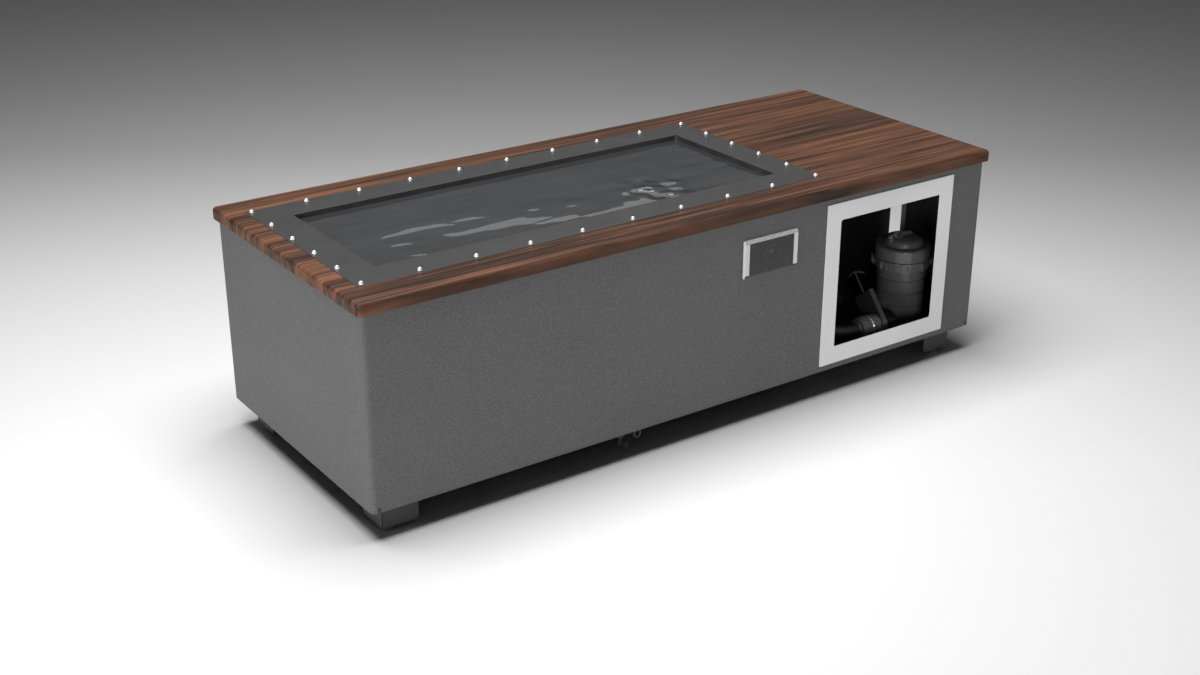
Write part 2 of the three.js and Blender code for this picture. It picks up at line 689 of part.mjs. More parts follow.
// White hatch frame, drawn flat with its back at depth zero.
function hatchFrame() {
  const outline = roundedRectangle(hatchSize, hatchSize, HATCH_SHEET);
  outline.holes.push(roundedRectangle(hatchOpening, hatchOpening, HATCH_INNER_RADIUS, THREE.Path));
  return prism(outline, HATCH_SHEET, 2);
}

function makeHatchFrames() {
  const front = facingFront(hatchFrame()).translate(hatchFrontX, -skirtSide - FIT, skirtMiddle);
  const end = facingEnd(hatchFrame()).translate(skirtEnd + FIT, hatchEndY, skirtMiddle);
  return [node('front_hatch_frame', front, WHITE_FRAME), node('end_hatch_frame', end, WHITE_FRAME)];
}

// Control panel: a silver housing with bowed sides, a glass face in its channel and a box behind.
function makePanel() {
  const group = new THREE.Group();
  group.position.set(panelX, -skirtSide - FIT, skirtTop - PANEL_FROM_TOP);
  const [w, h] = [PANEL_WIDTH / 2, PANEL_HEIGHT / 2];
  const outline = new THREE.Shape();
  outline.moveTo(-w, -h);
  outline.lineTo(w, -h);
  outline.quadraticCurveTo(w + 2 * PANEL_BOW, 0, w, h);
  outline.lineTo(-w, h);
  outline.quadraticCurveTo(-w - 2 * PANEL_BOW, 0, -w, -h);
  const face = w - PANEL_SIDE;
  const glassBack = -(PANEL_PROUD - PANEL_GLASS);
  const channel = block([-face, face], [-2 * PANEL_PROUD, glassBack], [-PANEL_HEIGHT, PANEL_HEIGHT]);
  const housing = cut(facingFront(prism(outline, PANEL_PROUD, 6)), channel);
  const glassSide = new THREE.Shape();
  glassSide.moveTo(glassBack - FIT, -h);
  glassSide.lineTo(glassBack - FIT, h);
  glassSide.lineTo(-PANEL_PROUD + PANEL_EDGE_CHAMFER, h);
  glassSide.lineTo(-PANEL_PROUD, h - 2 * PANEL_EDGE_CHAMFER);
  glassSide.lineTo(-PANEL_PROUD, -h + 2 * PANEL_EDGE_CHAMFER);
  glassSide.lineTo(-PANEL_PROUD + PANEL_EDGE_CHAMFER, -h);
  const glass = facingEnd(prism(glassSide, 2 * (face - FIT))).translate(-(face - FIT), 0, 0);
  const backOutline = roundedRectangle(PANEL_BOX_WIDTH, PANEL_BOX_HEIGHT, HATCH_INNER_RADIUS);
  const back = facingFront(prism(backOutline, PANEL_BOX_DEPTH)).translate(0, PANEL_BOX_DEPTH + FIT, 0);
  group.add(
    node('panel_housing', housing, SILVER),
    node('panel_glass', glass, DARK_GLASS),
    node('panel_back_box', back, PVC),
  );
  return group;
}

// One leg: a plate with two flanges folded down and the corner between them left open.
function legBracket() {
  const drop = legTop - LEG_GROUND_GAP;
  const run = LEG_WIDTH - LEG_CORNER_GAP;
  const flange = new THREE.Shape();
  flange.moveTo(0, drop);
  flange.lineTo(0, LEG_CORNER_RADIUS / 2);
  const tip = LEG_CORNER_RADIUS / 2;
  flange.absarc(tip, tip, tip, Math.PI, 1.5 * Math.PI);
  flange.lineTo(run - LEG_CORNER_RADIUS, 0);
  flange.absarc(run - LEG_CORNER_RADIUS, LEG_CORNER_RADIUS, LEG_CORNER_RADIUS, -Math.PI / 2, 0);
  flange.lineTo(run, drop);
  const front = facingFront(prism(flange, LEG_SHEET, 2))
    .translate(LEG_CORNER_GAP, LEG_SHEET, LEG_GROUND_GAP);
  const side = facingEnd(prism(flange, LEG_SHEET, 2)).translate(0, LEG_CORNER_GAP, LEG_GROUND_GAP);
  const plate = block([LEG_CORNER_GAP, LEG_WIDTH], [LEG_CORNER_GAP, LEG_WIDTH], [legPlateBottom, legTop]);
  return join(plate, front, side);
}

function makeLegs() {
  const [x, y] = [skirtEnd - LEG_INSET_X, skirtSide - LEG_INSET_Y];
  const foot = revolve([
    [0, 0], [FOOT_RADIUS - 2, 0], [FOOT_RADIUS, 2], [FOOT_RADIUS, FOOT_HEIGHT - 3],
    [FOOT_RADIUS - 3, FOOT_HEIGHT],
    [FOOT_STEM_RADIUS, FOOT_HEIGHT], [FOOT_STEM_RADIUS, legPlateBottom - FIT], [0, legPlateBottom - FIT],
  ], 12);
  const corners = [
    ['front_left', -1, -1], ['front_right', 1, -1], ['rear_left', -1, 1], ['rear_right', 1, 1],
  ];
  return corners.flatMap(([name, sx, sy]) => {
    const bracket = legBracket().scale(-sx, -sy, 1).translate(sx * x, sy * y, 0);
    const footX = sx < 0 ? FOOT_INSET_LEFT : FOOT_INSET_RIGHT;
    const pad = foot.clone().translate(sx * (x - footX), sy * (y - FOOT_INSET_Y), 0);
    return [node(`leg_${name}`, bracket, LEG_PAINT), node(`foot_${name}`, pad, RUBBER)];
  });
}

// Base frame: two long rails of square tube, cross tubes between them and a tray under the bay.
function squareTube(length) {
  const section = roundedRectangle(TUBE, TUBE, TUBE_WALL);
  section.holes.push(roundedRectangle(TUBE - 2 * TUBE_WALL, TUBE - 2 * TUBE_WALL, 1, THREE.Path));
  return prism(section, length, 1);
}

function makeBase() {
  const railLength = 2 * (skirtEnd - SKIRT_BEND_RADIUS - FIT);
  const middle = railBottom + TUBE / 2;
  const railY = (railOuter + railInner) / 2;
  const rails = [['front', -1], ['rear', 1]].map(([name, side]) => {
    const tube = facingEnd(squareTube(railLength)).translate(-railLength / 2, side * railY, middle);
    return node(`base_rail_${name}`, tube, FRAME_STEEL);
  });
  const middles = CROSS_FROM_TUB.map((x) => tubCentreX + x);
  const places = [-skirtEnd + CROSS_LEFT_INSET, ...middles, bulkheadMiddle];
  const span = 2 * (railInner - FIT);
  const crosses = places.map((x, i) =>
    node(`base_cross_${i + 1}`, facingFront(squareTube(span)).translate(x, span / 2, middle),
    FRAME_STEEL));
  const trayLeft = bulkheadMiddle + TUBE / 2 + FIT;
  const trayHalf = railInner - FIT;
  const tray = block([trayLeft, skirtEnd - SKIRT_SHEET - FIT], [-trayHalf, trayHalf],
  [railBottom, trayTop]);
  const bulkheadHalf = skirtSide - SKIRT_SHEET - FIT;
  const boardHeight = [railTop + FIT, skirtTop - SKIRT_SHEET - FIT];
  const board = block([bulkheadLeft, bulkheadRight], [-bulkheadHalf, bulkheadHalf], boardHeight);
  const bulkhead = cut(
    board, wallHole(FITTING_NECK + FIT, suctionY, suctionZ), wallHole(FITTING_NECK + FIT, jetY, jetZ));
  return [...rails, ...crosses, node('equipment_tray', tray, FRAME_STEEL),
  node('bulkhead', bulkhead, PLY)];
}

// Wall and floor fittings of the basin, with the hose and pipe that leave them.
function makeFittings() {
  const face = tubEndInner - FIT;
  const neckEnd = fittingTailX;
  const grateProfile = [
    [0, face - FITTING_FLANGE], [SUCTION_RADIUS - 5, face - FITTING_FLANGE], [SUCTION_RADIUS, face - 3],
    [SUCTION_RADIUS, face], [FITTING_NECK, face], [FITTING_NECK, neckEnd], [PIPE_BORE, neckEnd],
    [PIPE_BORE, face - FITTING_FLANGE / 2], [0, face - FITTING_FLANGE / 2],
  ];
  const slotPitch = (2 * PIPE_BORE) / SUCTION_SLOTS;
  const slots = Array.from({ length: SUCTION_SLOTS }, (_, i) => {
    const y = (i - (SUCTION_SLOTS - 1) / 2) * slotPitch;
    const half = Math.sqrt(PIPE_BORE ** 2 - y ** 2) - 1;
    return block([face - 2 * FITTING_FLANGE, face], [y - slotPitch / 4, y + slotPitch / 4],
    [-half, half]);
  });
  const suction = cut(alongX(revolve(grateProfile)), ...slots).translate(0, suctionY, suctionZ);

  const seat = clearing(JET_BALL_RADIUS + SLIDE_FIT, SIDES_LARGE);
  const lip = THREE.MathUtils.degToRad(40);
  const mouth = [seat * Math.cos(lip), face - FITTING_FLANGE / 2 - seat * Math.sin(lip)];
  const jetProfile = [
    mouth, [JET_RADIUS - 4, mouth[1]], [JET_RADIUS, face - 2], [JET_RADIUS, face],
    [FITTING_NECK, face], [FITTING_NECK, neckEnd], [PIPE_BORE, neckEnd],
    ...arcPoints(0, face - FITTING_FLANGE / 2, seat, 60, -40, 8).filter(([r]) => r < FITTING_NECK),
  ];
  const jetBody = alongX(revolve(jetProfile, SIDES_LARGE)).translate(0, jetY, jetZ);
  const ballProfile = [
    [JET_BALL_BORE, -Math.sqrt(JET_BALL_RADIUS ** 2 - JET_BALL_BORE ** 2)],
    ...arcPoints(0, 0, JET_BALL_RADIUS, -62, 62, 6),
    [JET_BALL_BORE, Math.sqrt(JET_BALL_RADIUS ** 2 - JET_BALL_BORE ** 2)],
    [JET_BALL_BORE, -Math.sqrt(JET_BALL_RADIUS ** 2 - JET_BALL_BORE ** 2)],
  ];
  const ball = alongX(revolve(ballProfile, SIDES_LARGE)).translate(face - FITTING_FLANGE / 2, jetY, jetZ);

  const hoseFrom = new THREE.Vector3(neckEnd + FIT, suctionY, suctionZ);
  const hoseTo = new THREE.Vector3(unionTailEnd() - FIT, valveY, valveZ);
  const half = (hoseTo.x - hoseFrom.x) / 2;
  const bow = new THREE.Vector3(half, 0, 0);
  const hoseRoute = new THREE.CubicBezierCurve3(
    hoseFrom, hoseFrom.clone().add(bow), hoseTo.clone().sub(bow), hoseTo);
  const hose = pipe(curvedRoute(hoseRoute, 10), PIPE_RADIUS, PIPE_BORE);

  const returnRoute = bentRoute(
    [[neckEnd + FIT, jetY, jetZ], [dischargeX, jetY, jetZ], [dischargeX, exchangerY, jetZ],
      [dischargeX, exchangerY, exchangerNeckTop() + FIT]], RETURN_BEND);
  const returnPipe = pipe(returnRoute, PIPE_RADIUS, PIPE_BORE);
  return [
    node('suction_fitting', suction, PVC),
    node('suction_hose', hose, RUBBER),
    node('return_jet_body', jetBody, PVC),
    node('return_jet_eyeball', ball, PVC),
    node('return_pipe', returnPipe, PVC),
  ];
}

// Drain: a bent pipe from a flange in the floor, a ball valve with a two-winged lever and an outlet.
function makeDrain() {
  const top = basinFloor + FIT;
  const low = jacketBottom - INSULATION / 2;
  const fitting = revolve([
    [DRAIN_PIPE_BORE, low], [FITTING_NECK, low], [FITTING_NECK, top], [DRAIN_FLANGE_RADIUS, top],
    [DRAIN_FLANGE_RADIUS - 2, top + DRAIN_FLANGE], [DRAIN_PIPE_BORE + 3, top + DRAIN_FLANGE],
    [DRAIN_PIPE_BORE, top], [DRAIN_PIPE_BORE, low],
  ]).translate(drainX, drainY, 0);
  const bodyLeft = drainValveX - DRAIN_VALVE_LENGTH / 2;
  const bodyRight = drainValveX + DRAIN_VALVE_LENGTH / 2;
  const route = bentRoute([
    [drainX, drainY, low + DRAIN_FLANGE], [drainX, drainY, DRAIN_HEIGHT],
    [drainX, drainValveY, DRAIN_HEIGHT],
    [bodyLeft - FIT, drainValveY, DRAIN_HEIGHT],
  ], DRAIN_BEND);
  const supply = pipe(route, DRAIN_PIPE_RADIUS, DRAIN_PIPE_BORE, 8);

  const barrel = alongX(revolve([
    [DRAIN_PIPE_BORE, bodyLeft], [DRAIN_VALVE_RADIUS - 2, bodyLeft],
    [DRAIN_VALVE_RADIUS - 2, bodyLeft + 8],
    [DRAIN_VALVE_RADIUS, bodyLeft + 10], [DRAIN_VALVE_RADIUS, bodyRight - 10],
    [DRAIN_VALVE_RADIUS - 2, bodyRight - 8], [DRAIN_VALVE_RADIUS - 2, bodyRight],
    [DRAIN_PIPE_BORE, bodyRight],
    [DRAIN_PIPE_BORE, bodyLeft],
  ])).translate(0, drainValveY, DRAIN_HEIGHT);
  const bonnetLow = DRAIN_HEIGHT - DRAIN_VALVE_RADIUS - 3;
  const stemEnd = bonnetLow - LEVER_DROP / 2;
  const bonnet = revolve([
    [0, stemEnd], [LEVER_HUB_RADIUS / 2, stemEnd], [LEVER_HUB_RADIUS / 2, bonnetLow],
    [LEVER_HUB_RADIUS, bonnetLow], [LEVER_HUB_RADIUS, DRAIN_HEIGHT - DRAIN_PIPE_BORE],
    [0, DRAIN_HEIGHT - DRAIN_PIPE_BORE],
  ], SIDES_SMALL).translate(drainValveX, drainValveY, 0);
  const bore = alongX(rod(DRAIN_PIPE_BORE, bodyLeft - 1, bodyRight + 1))
    .translate(0, drainValveY, DRAIN_HEIGHT);
  const valve = cut(join(barrel, bonnet), bore);

  const leverTop = bonnetLow - SLIDE_FIT;
  const leverLow = leverTop - LEVER_DROP;
  const leverBore = LEVER_HUB_RADIUS / 2 + SLIDE_FIT;
  const hub = revolve([
    [0, leverLow], [LEVER_HUB_RADIUS - 2, leverLow], [LEVER_HUB_RADIUS, leverLow + 2],
    [LEVER_HUB_RADIUS, leverTop],
    [leverBore, leverTop], [leverBore, stemEnd - FIT], [0, stemEnd - FIT],
  ], SIDES_SMALL);
  const wing = new THREE.Shape();
  const near = LEVER_HUB_RADIUS - 1;
  wing.moveTo(near, leverTop);
  wing.lineTo(near, leverLow + 3);
  wing.lineTo(LEVER_REACH - 4, leverLow + 4);
  wing.quadraticCurveTo(LEVER_REACH, leverLow + 4, LEVER_REACH, leverLow + 8);
  wing.lineTo(LEVER_REACH, leverTop - 3);
  wing.quadraticCurveTo(LEVER_REACH, leverTop, LEVER_REACH - 3, leverTop);
  const blade = facingEnd(prism(wing, LEVER_BLADE)).translate(-LEVER_BLADE / 2, 0, 0);
  const lever = join(hub, blade, blade.clone().rotateZ(Math.PI)).translate(drainValveX, drainValveY, 0);

  const outletX = bodyRight + FIT + DRAIN_VALVE_RADIUS;
  const outletY = -skirtSide + DRAIN_OUTLET_FROM_FRONT;
  const outletRoute = bentRoute([
    [bodyRight + FIT, drainValveY, DRAIN_HEIGHT], [outletX, drainValveY, DRAIN_HEIGHT],
    [outletX, outletY, DRAIN_HEIGHT],
  ], DRAIN_VALVE_RADIUS - 1);
  const outlet = pipe(outletRoute, DRAIN_PIPE_RADIUS + 1, DRAIN_PIPE_BORE, 12);
  return [
    node('drain_pipe', join(fitting, supply), PVC),
    node('drain_valve_body', valve, PVC),
    node('drain_lever', lever, RUBBER),
    node('drain_outlet', outlet, PVC),
  ];
}

// Filter canister: a waisted body on the tray, a pleated cartridge, a domed lid and its lock ring.
function filterBody() {
  const shoulder = FILTER_BODY_HEIGHT - FILTER_FLANGE;
  const side = (share) => {
    const straight = FILTER_BASE_RADIUS + (FILTER_SHOULDER_RADIUS - FILTER_BASE_RADIUS) * share ** 2;
    const waist = (FILTER_BASE_RADIUS - FILTER_WAIST_RADIUS) * Math.sin(Math.PI * share);
    return [straight - waist, FILTER_ROUND + (shoulder - FILTER_ROUND) * share];
  };
  const sealLow = FILTER_BODY_HEIGHT - 2 * SEAL_SECTION + FIT;
  const sealMiddle = (FILTER_FLANGE_RADIUS + CARTRIDGE_RADIUS + FILTER_WALL) / 2;
  const cavity = CARTRIDGE_RADIUS + FILTER_WALL;
  const profile = [
    [0, 0],
    ...arcPoints(FILTER_BASE_RADIUS - FILTER_ROUND, FILTER_ROUND, FILTER_ROUND, -90, 0, 3),
    ...[0.35, 0.7].map(side),
    [FILTER_SHOULDER_RADIUS, shoulder], [FILTER_FLANGE_RADIUS, shoulder],
    [FILTER_FLANGE_RADIUS, FILTER_BODY_HEIGHT],
    [sealMiddle + SEAL_SECTION + FIT, FILTER_BODY_HEIGHT],
    [sealMiddle + SEAL_SECTION + FIT, sealLow - FIT],
    [sealMiddle - SEAL_SECTION - FIT, sealLow - FIT],
    [sealMiddle - SEAL_SECTION - FIT, FILTER_BODY_HEIGHT],
    [cavity, FILTER_BODY_HEIGHT], [cavity, FILTER_WALL + FILTER_ROUND / 2],
    [cavity - FILTER_ROUND / 2, FILTER_WALL], [0, FILTER_WALL],
  ];
  return { profile, cavity, sealLow, sealMiddle };
}

// Where the curved inlet pipe leaves the gate valve and how far it turns to meet the canister square on.
function inletBend() {
  const start = new THREE.Vector2(valveX + unionFar() + UNION_LENGTH, valveY);
  const to = new THREE.Vector2(filterX, filterY).sub(start);
  const reach = FILTER_PORT_REACH + FIT;
  const radius = (to.lengthSq() - reach ** 2) / (2 * to.y);
  const turn = Math.atan2(to.x, radius - to.y) - Math.atan2(reach, radius);
  return { start, radius, turn };
}

const unionFar = () => VALVE_THICKNESS / 2 + VALVE_HUB + FIT;
const unionTailEnd = () => valveX - unionFar() - UNION_LENGTH - UNION_TAIL;
const exchangerNeckTop = () => chillerTop + PIPE_RADIUS;

function makeFilter() {
  const group = new THREE.Group();
  group.position.set(filterX, filterY, filterZ);
  const { profile, cavity, sealLow, sealMiddle } = filterBody();
  const inletHeight = valveZ - filterZ;
  const turn = inletBend().turn;
  const stub = (radius, low, high) => alongX(rod(radius, low, high));
  const inlet = (radius, low) => stub(radius, low, FILTER_PORT_REACH)
    .rotateZ(Math.PI + turn).translate(0, 0, inletHeight);
  const outlet = (radius, low) => stub(radius, low, FILTER_OUTLET_REACH).rotateZ(Math.PI / 2)
    .translate(FILTER_OUTLET_OFFSET, 0, FILTER_OUTLET_HEIGHT);
  const inside = cavity - FILTER_WALL;
  const space = rod(
    cavity, FILTER_WALL + FILTER_ROUND / 2, FILTER_BODY_HEIGHT + FILTER_FLANGE, SIDES_LARGE);
  const ports = [inlet(FILTER_PORT_RADIUS, inside), outlet(FILTER_PORT_RADIUS, 0)];
  const shell = join(revolve(profile, SIDES_LARGE), ...ports);
  const body = cut(shell, space, inlet(PIPE_BORE, 0), outlet(PIPE_BORE, 0));

  const seal = revolve([
    ...arcPoints(sealMiddle, sealLow + SEAL_SECTION, SEAL_SECTION, 0, 360, 5),
  ], SIDES_LARGE).translate(0, 0, -FIT);

  const cartridgeLow = FILTER_WALL + FIT;
  const cartridgeTop = FILTER_BODY_HEIGHT - FILTER_FLANGE;
  const star = new THREE.Shape(Array.from({ length: 2 * CARTRIDGE_PLEATS }, (_, i) => {
    const angle = (Math.PI * i) / CARTRIDGE_PLEATS;
    const radius = CARTRIDGE_RADIUS - (i % 2) * CARTRIDGE_PLEAT_DEPTH - 1;
    return new THREE.Vector2(radius * Math.cos(angle), radius * Math.sin(angle));
  }));
  const lowCap = CARTRIDGE_RADIUS - FILTER_ROUND / 2;
  const pleats = prism(star, cartridgeTop - cartridgeLow - CARTRIDGE_CAP)
    .translate(0, 0, cartridgeLow + CARTRIDGE_CAP / 2);
  const caps = [
    rod(lowCap, cartridgeLow, cartridgeLow + CARTRIDGE_CAP),
    rod(CARTRIDGE_RADIUS, cartridgeTop - CARTRIDGE_CAP, cartridgeTop),
  ];
  const taperTop = FILTER_WALL + FILTER_ROUND / 2 + CARTRIDGE_CAP;
  const taper = revolve([
    [lowCap, cartridgeLow - 1], [cavity, cartridgeLow - 1], [cavity, taperTop],
    [CARTRIDGE_RADIUS, taperTop], [lowCap, cartridgeLow - 1],
  ]);
  const core = rod(CARTRIDGE_CORE, 0, FILTER_BODY_HEIGHT, SIDES_SMALL);
  const cartridge = cut(join(pleats, ...caps), taper, core);

  group.add(
    node('filter_body', body, FILTER_PLASTIC),
    node('filter_seal', seal, RUBBER),
    node('filter_cartridge', cartridge, FILTER_MEDIA),
    ...makeFilterTop(cavity),
  );
  return group;
}

// Lid with a grip ridge across its dome, the lock ring held on its neck, and an air bleed.
function makeFilterTop(cavity) {
  const foot = FILTER_BODY_HEIGHT + FIT;
  const ringLow = FILTER_BODY_HEIGHT - FILTER_FLANGE + SLIDE_FIT;
  const ringTop = ringLow + RING_HEIGHT;
  const wallLow = ringTop + SLIDE_FIT;
  const wallTop = wallLow + LID_WALL_HEIGHT;
  const domeTop = wallTop + LID_DOME_HEIGHT;
  const neck = FILTER_FLANGE_RADIUS - LID_THICKNESS;
  const domeBase = LID_WALL_RADIUS * 0.72;
  const dome = (height) => domeBase * Math.sqrt(1 - ((height - wallTop) / LID_DOME_HEIGHT) ** 2);
  const domeHeights = [0.35, 0.65, 0.88].map((share) => wallTop + LID_DOME_HEIGHT * share);
  const lidShell = revolve([
    [cavity, foot], [FILTER_FLANGE_RADIUS, foot], [FILTER_FLANGE_RADIUS, foot + LID_FLANGE],
    [neck, foot + LID_FLANGE], [neck, wallLow], [LID_WALL_RADIUS, wallLow],
    ...arcPoints(LID_WALL_RADIUS - 9, wallTop - 9, 9, 0, 90, 3),
    [domeBase + 3, wallTop], ...domeHeights.map((height) => [dome(height), height]), [0, domeTop],
    [0, domeTop - LID_THICKNESS], [dome(domeHeights[1]) - LID_THICKNESS, domeHeights[1] - LID_THICKNESS],
    [domeBase - LID_THICKNESS, wallTop - LID_THICKNESS], [cavity, wallTop - 2 * LID_THICKNESS],
    [cavity, foot],
  ], SIDES_LARGE);
  const grip = new THREE.Shape();
  const halfGrip = LID_GRIP_LENGTH / 2;
  grip.moveTo(-halfGrip, 0);
  grip.lineTo(halfGrip, 0);
  grip.quadraticCurveTo(halfGrip * 0.85, LID_GRIP_HEIGHT, halfGrip * 0.45, LID_GRIP_HEIGHT);
  grip.lineTo(-halfGrip * 0.1, LID_GRIP_HEIGHT);
  grip.quadraticCurveTo(-halfGrip * 0.8, LID_GRIP_HEIGHT * 0.85, -halfGrip, 0);
  const ridge = facingFront(prism(grip, LID_GRIP_WIDTH, 4)).translate(0, LID_GRIP_WIDTH / 2, wallTop);
  const hollow = revolve([
    [0, foot], [cavity, foot], [cavity, wallTop - 2 * LID_THICKNESS],
    [domeBase - LID_THICKNESS, wallTop - LID_THICKNESS],
    [dome(domeHeights[1]) - LID_THICKNESS, domeHeights[1] - LID_THICKNESS], [0, domeTop - LID_THICKNESS],
  ], SIDES_LARGE);
  const bossTop = wallTop + LID_DOME_HEIGHT * 0.8;
  const boss = rod(BLEED_RADIUS + 2, wallTop - LID_THICKNESS, bossTop, SIDES_SMALL)
    .translate(-BLEED_OFFSET, 0, 0);
  const stemTop = bossTop + BLEED_HEIGHT / 2;
  const bleedStem = rod(BLEED_RADIUS / 2, bossTop - LID_THICKNESS, stemTop, SIDES_SMALL)
    .translate(-BLEED_OFFSET, 0, 0);
  const lid = cut(join(lidShell, ridge, boss, bleedStem), hollow);

  const grooveOuter = clearing(FILTER_FLANGE_RADIUS + SLIDE_FIT, SIDES_LARGE);
  const lipBore = clearing(neck + SLIDE_FIT, SIDES_LARGE);
  const lipLow = foot + LID_FLANGE + SLIDE_FIT;
  const ringProfileOuter = revolve([
    [grooveOuter, ringLow], [RING_RADIUS - 2, ringLow], [RING_RADIUS, ringLow + 2],
    [RING_RADIUS, ringTop - 2],
    [RING_RADIUS - 2, ringTop], [lipBore, ringTop], [lipBore, lipLow],
    [grooveOuter, lipLow], [grooveOuter, ringLow],
  ], SIDES_LARGE);
  const lug = block([RING_RADIUS - 3, RING_RADIUS + RING_LUG], [-6, 6], [ringLow + 5, ringTop - 8]);
  const lugs = Array.from({ length: RING_LUGS }, (_, i) =>
    lug.clone().rotateZ((2 * Math.PI * i) / RING_LUGS));
  const ring = join(ringProfileOuter, ...lugs);

  const knobLow = bossTop + SLIDE_FIT;
  const stemBore = BLEED_RADIUS / 2 + SLIDE_FIT;
  const boreTop = bossTop + BLEED_HEIGHT / 2 + SLIDE_FIT;
  const knob = revolve([
    [stemBore, knobLow], [BLEED_RADIUS, knobLow], [BLEED_RADIUS, knobLow + BLEED_HEIGHT - 2],
    [BLEED_RADIUS - 2, knobLow + BLEED_HEIGHT], [0, knobLow + BLEED_HEIGHT],
    [0, boreTop], [stemBore, boreTop], [stemBore, knobLow],
  ], SIDES_SMALL);
  const wing = block([BLEED_RADIUS - 2, BLEED_WING / 2], [-2, 2],
  [knobLow + 2, knobLow + BLEED_HEIGHT - 1]);
  const bleed = join(knob, wing, wing.clone().rotateZ(Math.PI)).translate(-BLEED_OFFSET, 0, 0);
  return [
    node('filter_lid', lid, FILTER_PLASTIC),
    node('filter_lock_ring', ring, FILTER_PLASTIC),
    node('filter_air_bleed', bleed, FILTER_PLASTIC),
  ];
}

// Outline of a flat plate with a round lower end, in the valve's own plane.
function gateOutline(halfWidth, centre, top, Kind = THREE.Shape) {
  const shape = new Kind();
  shape.moveTo(halfWidth, centre);
  shape.lineTo(halfWidth, top);
  shape.lineTo(-halfWidth, top);
  shape.lineTo(-halfWidth, centre);
  shape.absarc(0, centre, halfWidth, Math.PI, 2 * Math.PI);
  return shape;
}

// Gate valve: a flat body with a slot, a sliding gate and a T-handle, shown open and leaning back.
function makeGateValve() {
  const group = new THREE.Group();
  group.position.set(valveX, valveY, valveZ);
  const leaning = new THREE.Group();
  leaning.rotation.x = -VALVE_LEAN;
  const plate = (outline, depth) => facingEnd(prism(outline, depth, 6)).translate(-depth / 2, 0, 0);
  const gateHalf = VALVE_HALF_WIDTH - VALVE_WALL - SLIDE_FIT;
  const slotTop = VALVE_TOP - VALVE_WALL;
  const slot = plate(gateOutline(VALVE_HALF_WIDTH - VALVE_WALL, 0, slotTop),
  GATE_THICKNESS + 2 * SLIDE_FIT);
  const hubEnd = VALVE_THICKNESS / 2 + VALVE_HUB;
  const hubs = alongX(rod(VALVE_HUB_RADIUS, -hubEnd, hubEnd));
  const bore = alongX(rod(VALVE_BORE, -2 * hubEnd, 2 * hubEnd));
  const gateTop = slotTop - 2 * SLIDE_FIT;
  const stemHole = hole(STEM_RADIUS + SLIDE_FIT, gateTop - GATE_STROKE, VALVE_TOP + 1, SIDES_SMALL);
  const body = cut(
    join(plate(gateOutline(VALVE_HALF_WIDTH, 0, VALVE_TOP), VALVE_THICKNESS), hubs),
    slot, bore, stemHole);
  const gate = plate(gateOutline(gateHalf, GATE_STROKE, gateTop), GATE_THICKNESS);
  const droop = new THREE.QuadraticBezierCurve3(
    new THREE.Vector3(-HANDLE_LENGTH / 2, 0, HANDLE_HEIGHT - HANDLE_DROOP),
    new THREE.Vector3(0, 0, HANDLE_HEIGHT + HANDLE_DROOP),
    new THREE.Vector3(HANDLE_LENGTH / 2, 0, HANDLE_HEIGHT - HANDLE_DROOP),
  );
  const stem = rod(STEM_RADIUS, gateTop + FIT, HANDLE_HEIGHT, SIDES_SMALL);
  const handle = join(stem, pipe(curvedRoute(droop, 6), HANDLE_RADIUS, 0, 8));
  leaning.add(
    node('gate_valve_body', body, PVC),
    node('gate_valve_gate', gate, STAINLESS),
    node('gate_valve_handle', handle, STAINLESS),
  );

  const nutFar = unionFar() + UNION_LENGTH;
  const nutNear = VALVE_THICKNESS / 2 + FIT;
  const collar = unionFar() + FITTING_FLANGE;
  const neck = PIPE_RADIUS + 5;
  const nutBore = clearing(VALVE_HUB_RADIUS + FIT);
  const lipBore = clearing(neck + FIT);
  const nutProfile = [
    [nutBore, nutNear], [UNION_RADIUS - 2, nutNear], [UNION_RADIUS, nutNear + 3],
    [UNION_RADIUS, nutFar - 12],
    [UNION_RADIUS - 5, nutFar], [lipBore, nutFar], [lipBore, collar + FIT], [nutBore, collar + FIT],
    [nutBore, nutNear],
  ];
  const nut = () => alongX(revolve(nutProfile));
  const tailProfile = [
    [PIPE_BORE, unionFar()], [VALVE_HUB_RADIUS, unionFar()], [VALVE_HUB_RADIUS, collar],
    [neck, collar], [neck, nutFar],
    [PIPE_RADIUS + 1.5, nutFar + UNION_TAIL], [PIPE_BORE, nutFar + UNION_TAIL], [PIPE_BORE, unionFar()],
  ];
  const tail = alongX(revolve(tailProfile)).rotateZ(Math.PI);
  group.add(
    leaning,
    node('union_nut_suction', nut().rotateZ(Math.PI), PVC),
    node('union_tail_suction', tail, PVC),
    node('union_nut_filter', nut(), PVC),
  );
  return group;
}

// Curved pipe from the gate valve's outlet union to the canister's inlet port.
function makeFilterInlet() {
  const { start, radius, turn } = inletBend();
  const steps = 6;
  const bendStations = Array.from({ length: steps + 1 }, (_, i) => {
    const angle = (turn * i) / steps;
    const [along, across] = [radius * Math.sin(angle), radius * (1 - Math.cos(angle))];
    return {
      point: new THREE.Vector3(start.x + along, start.y + across, valveZ),
      heading: new THREE.Vector3(Math.cos(angle), Math.sin(angle), 0),
    };
  });
  const collarX = valveX + unionFar();
  const first = { point: new THREE.Vector3(collarX, start.y, valveZ),
  heading: new THREE.Vector3(1, 0, 0) };
  const bend = pipe(new Route([first, ...bendStations]), PIPE_RADIUS, PIPE_BORE);
  const collar = alongX(revolve(
    ringProfile(PIPE_BORE, VALVE_HUB_RADIUS, 0, FITTING_FLANGE))).translate(collarX, start.y, valveZ);
  return node('filter_inlet_pipe', join(bend, collar), PVC);
}

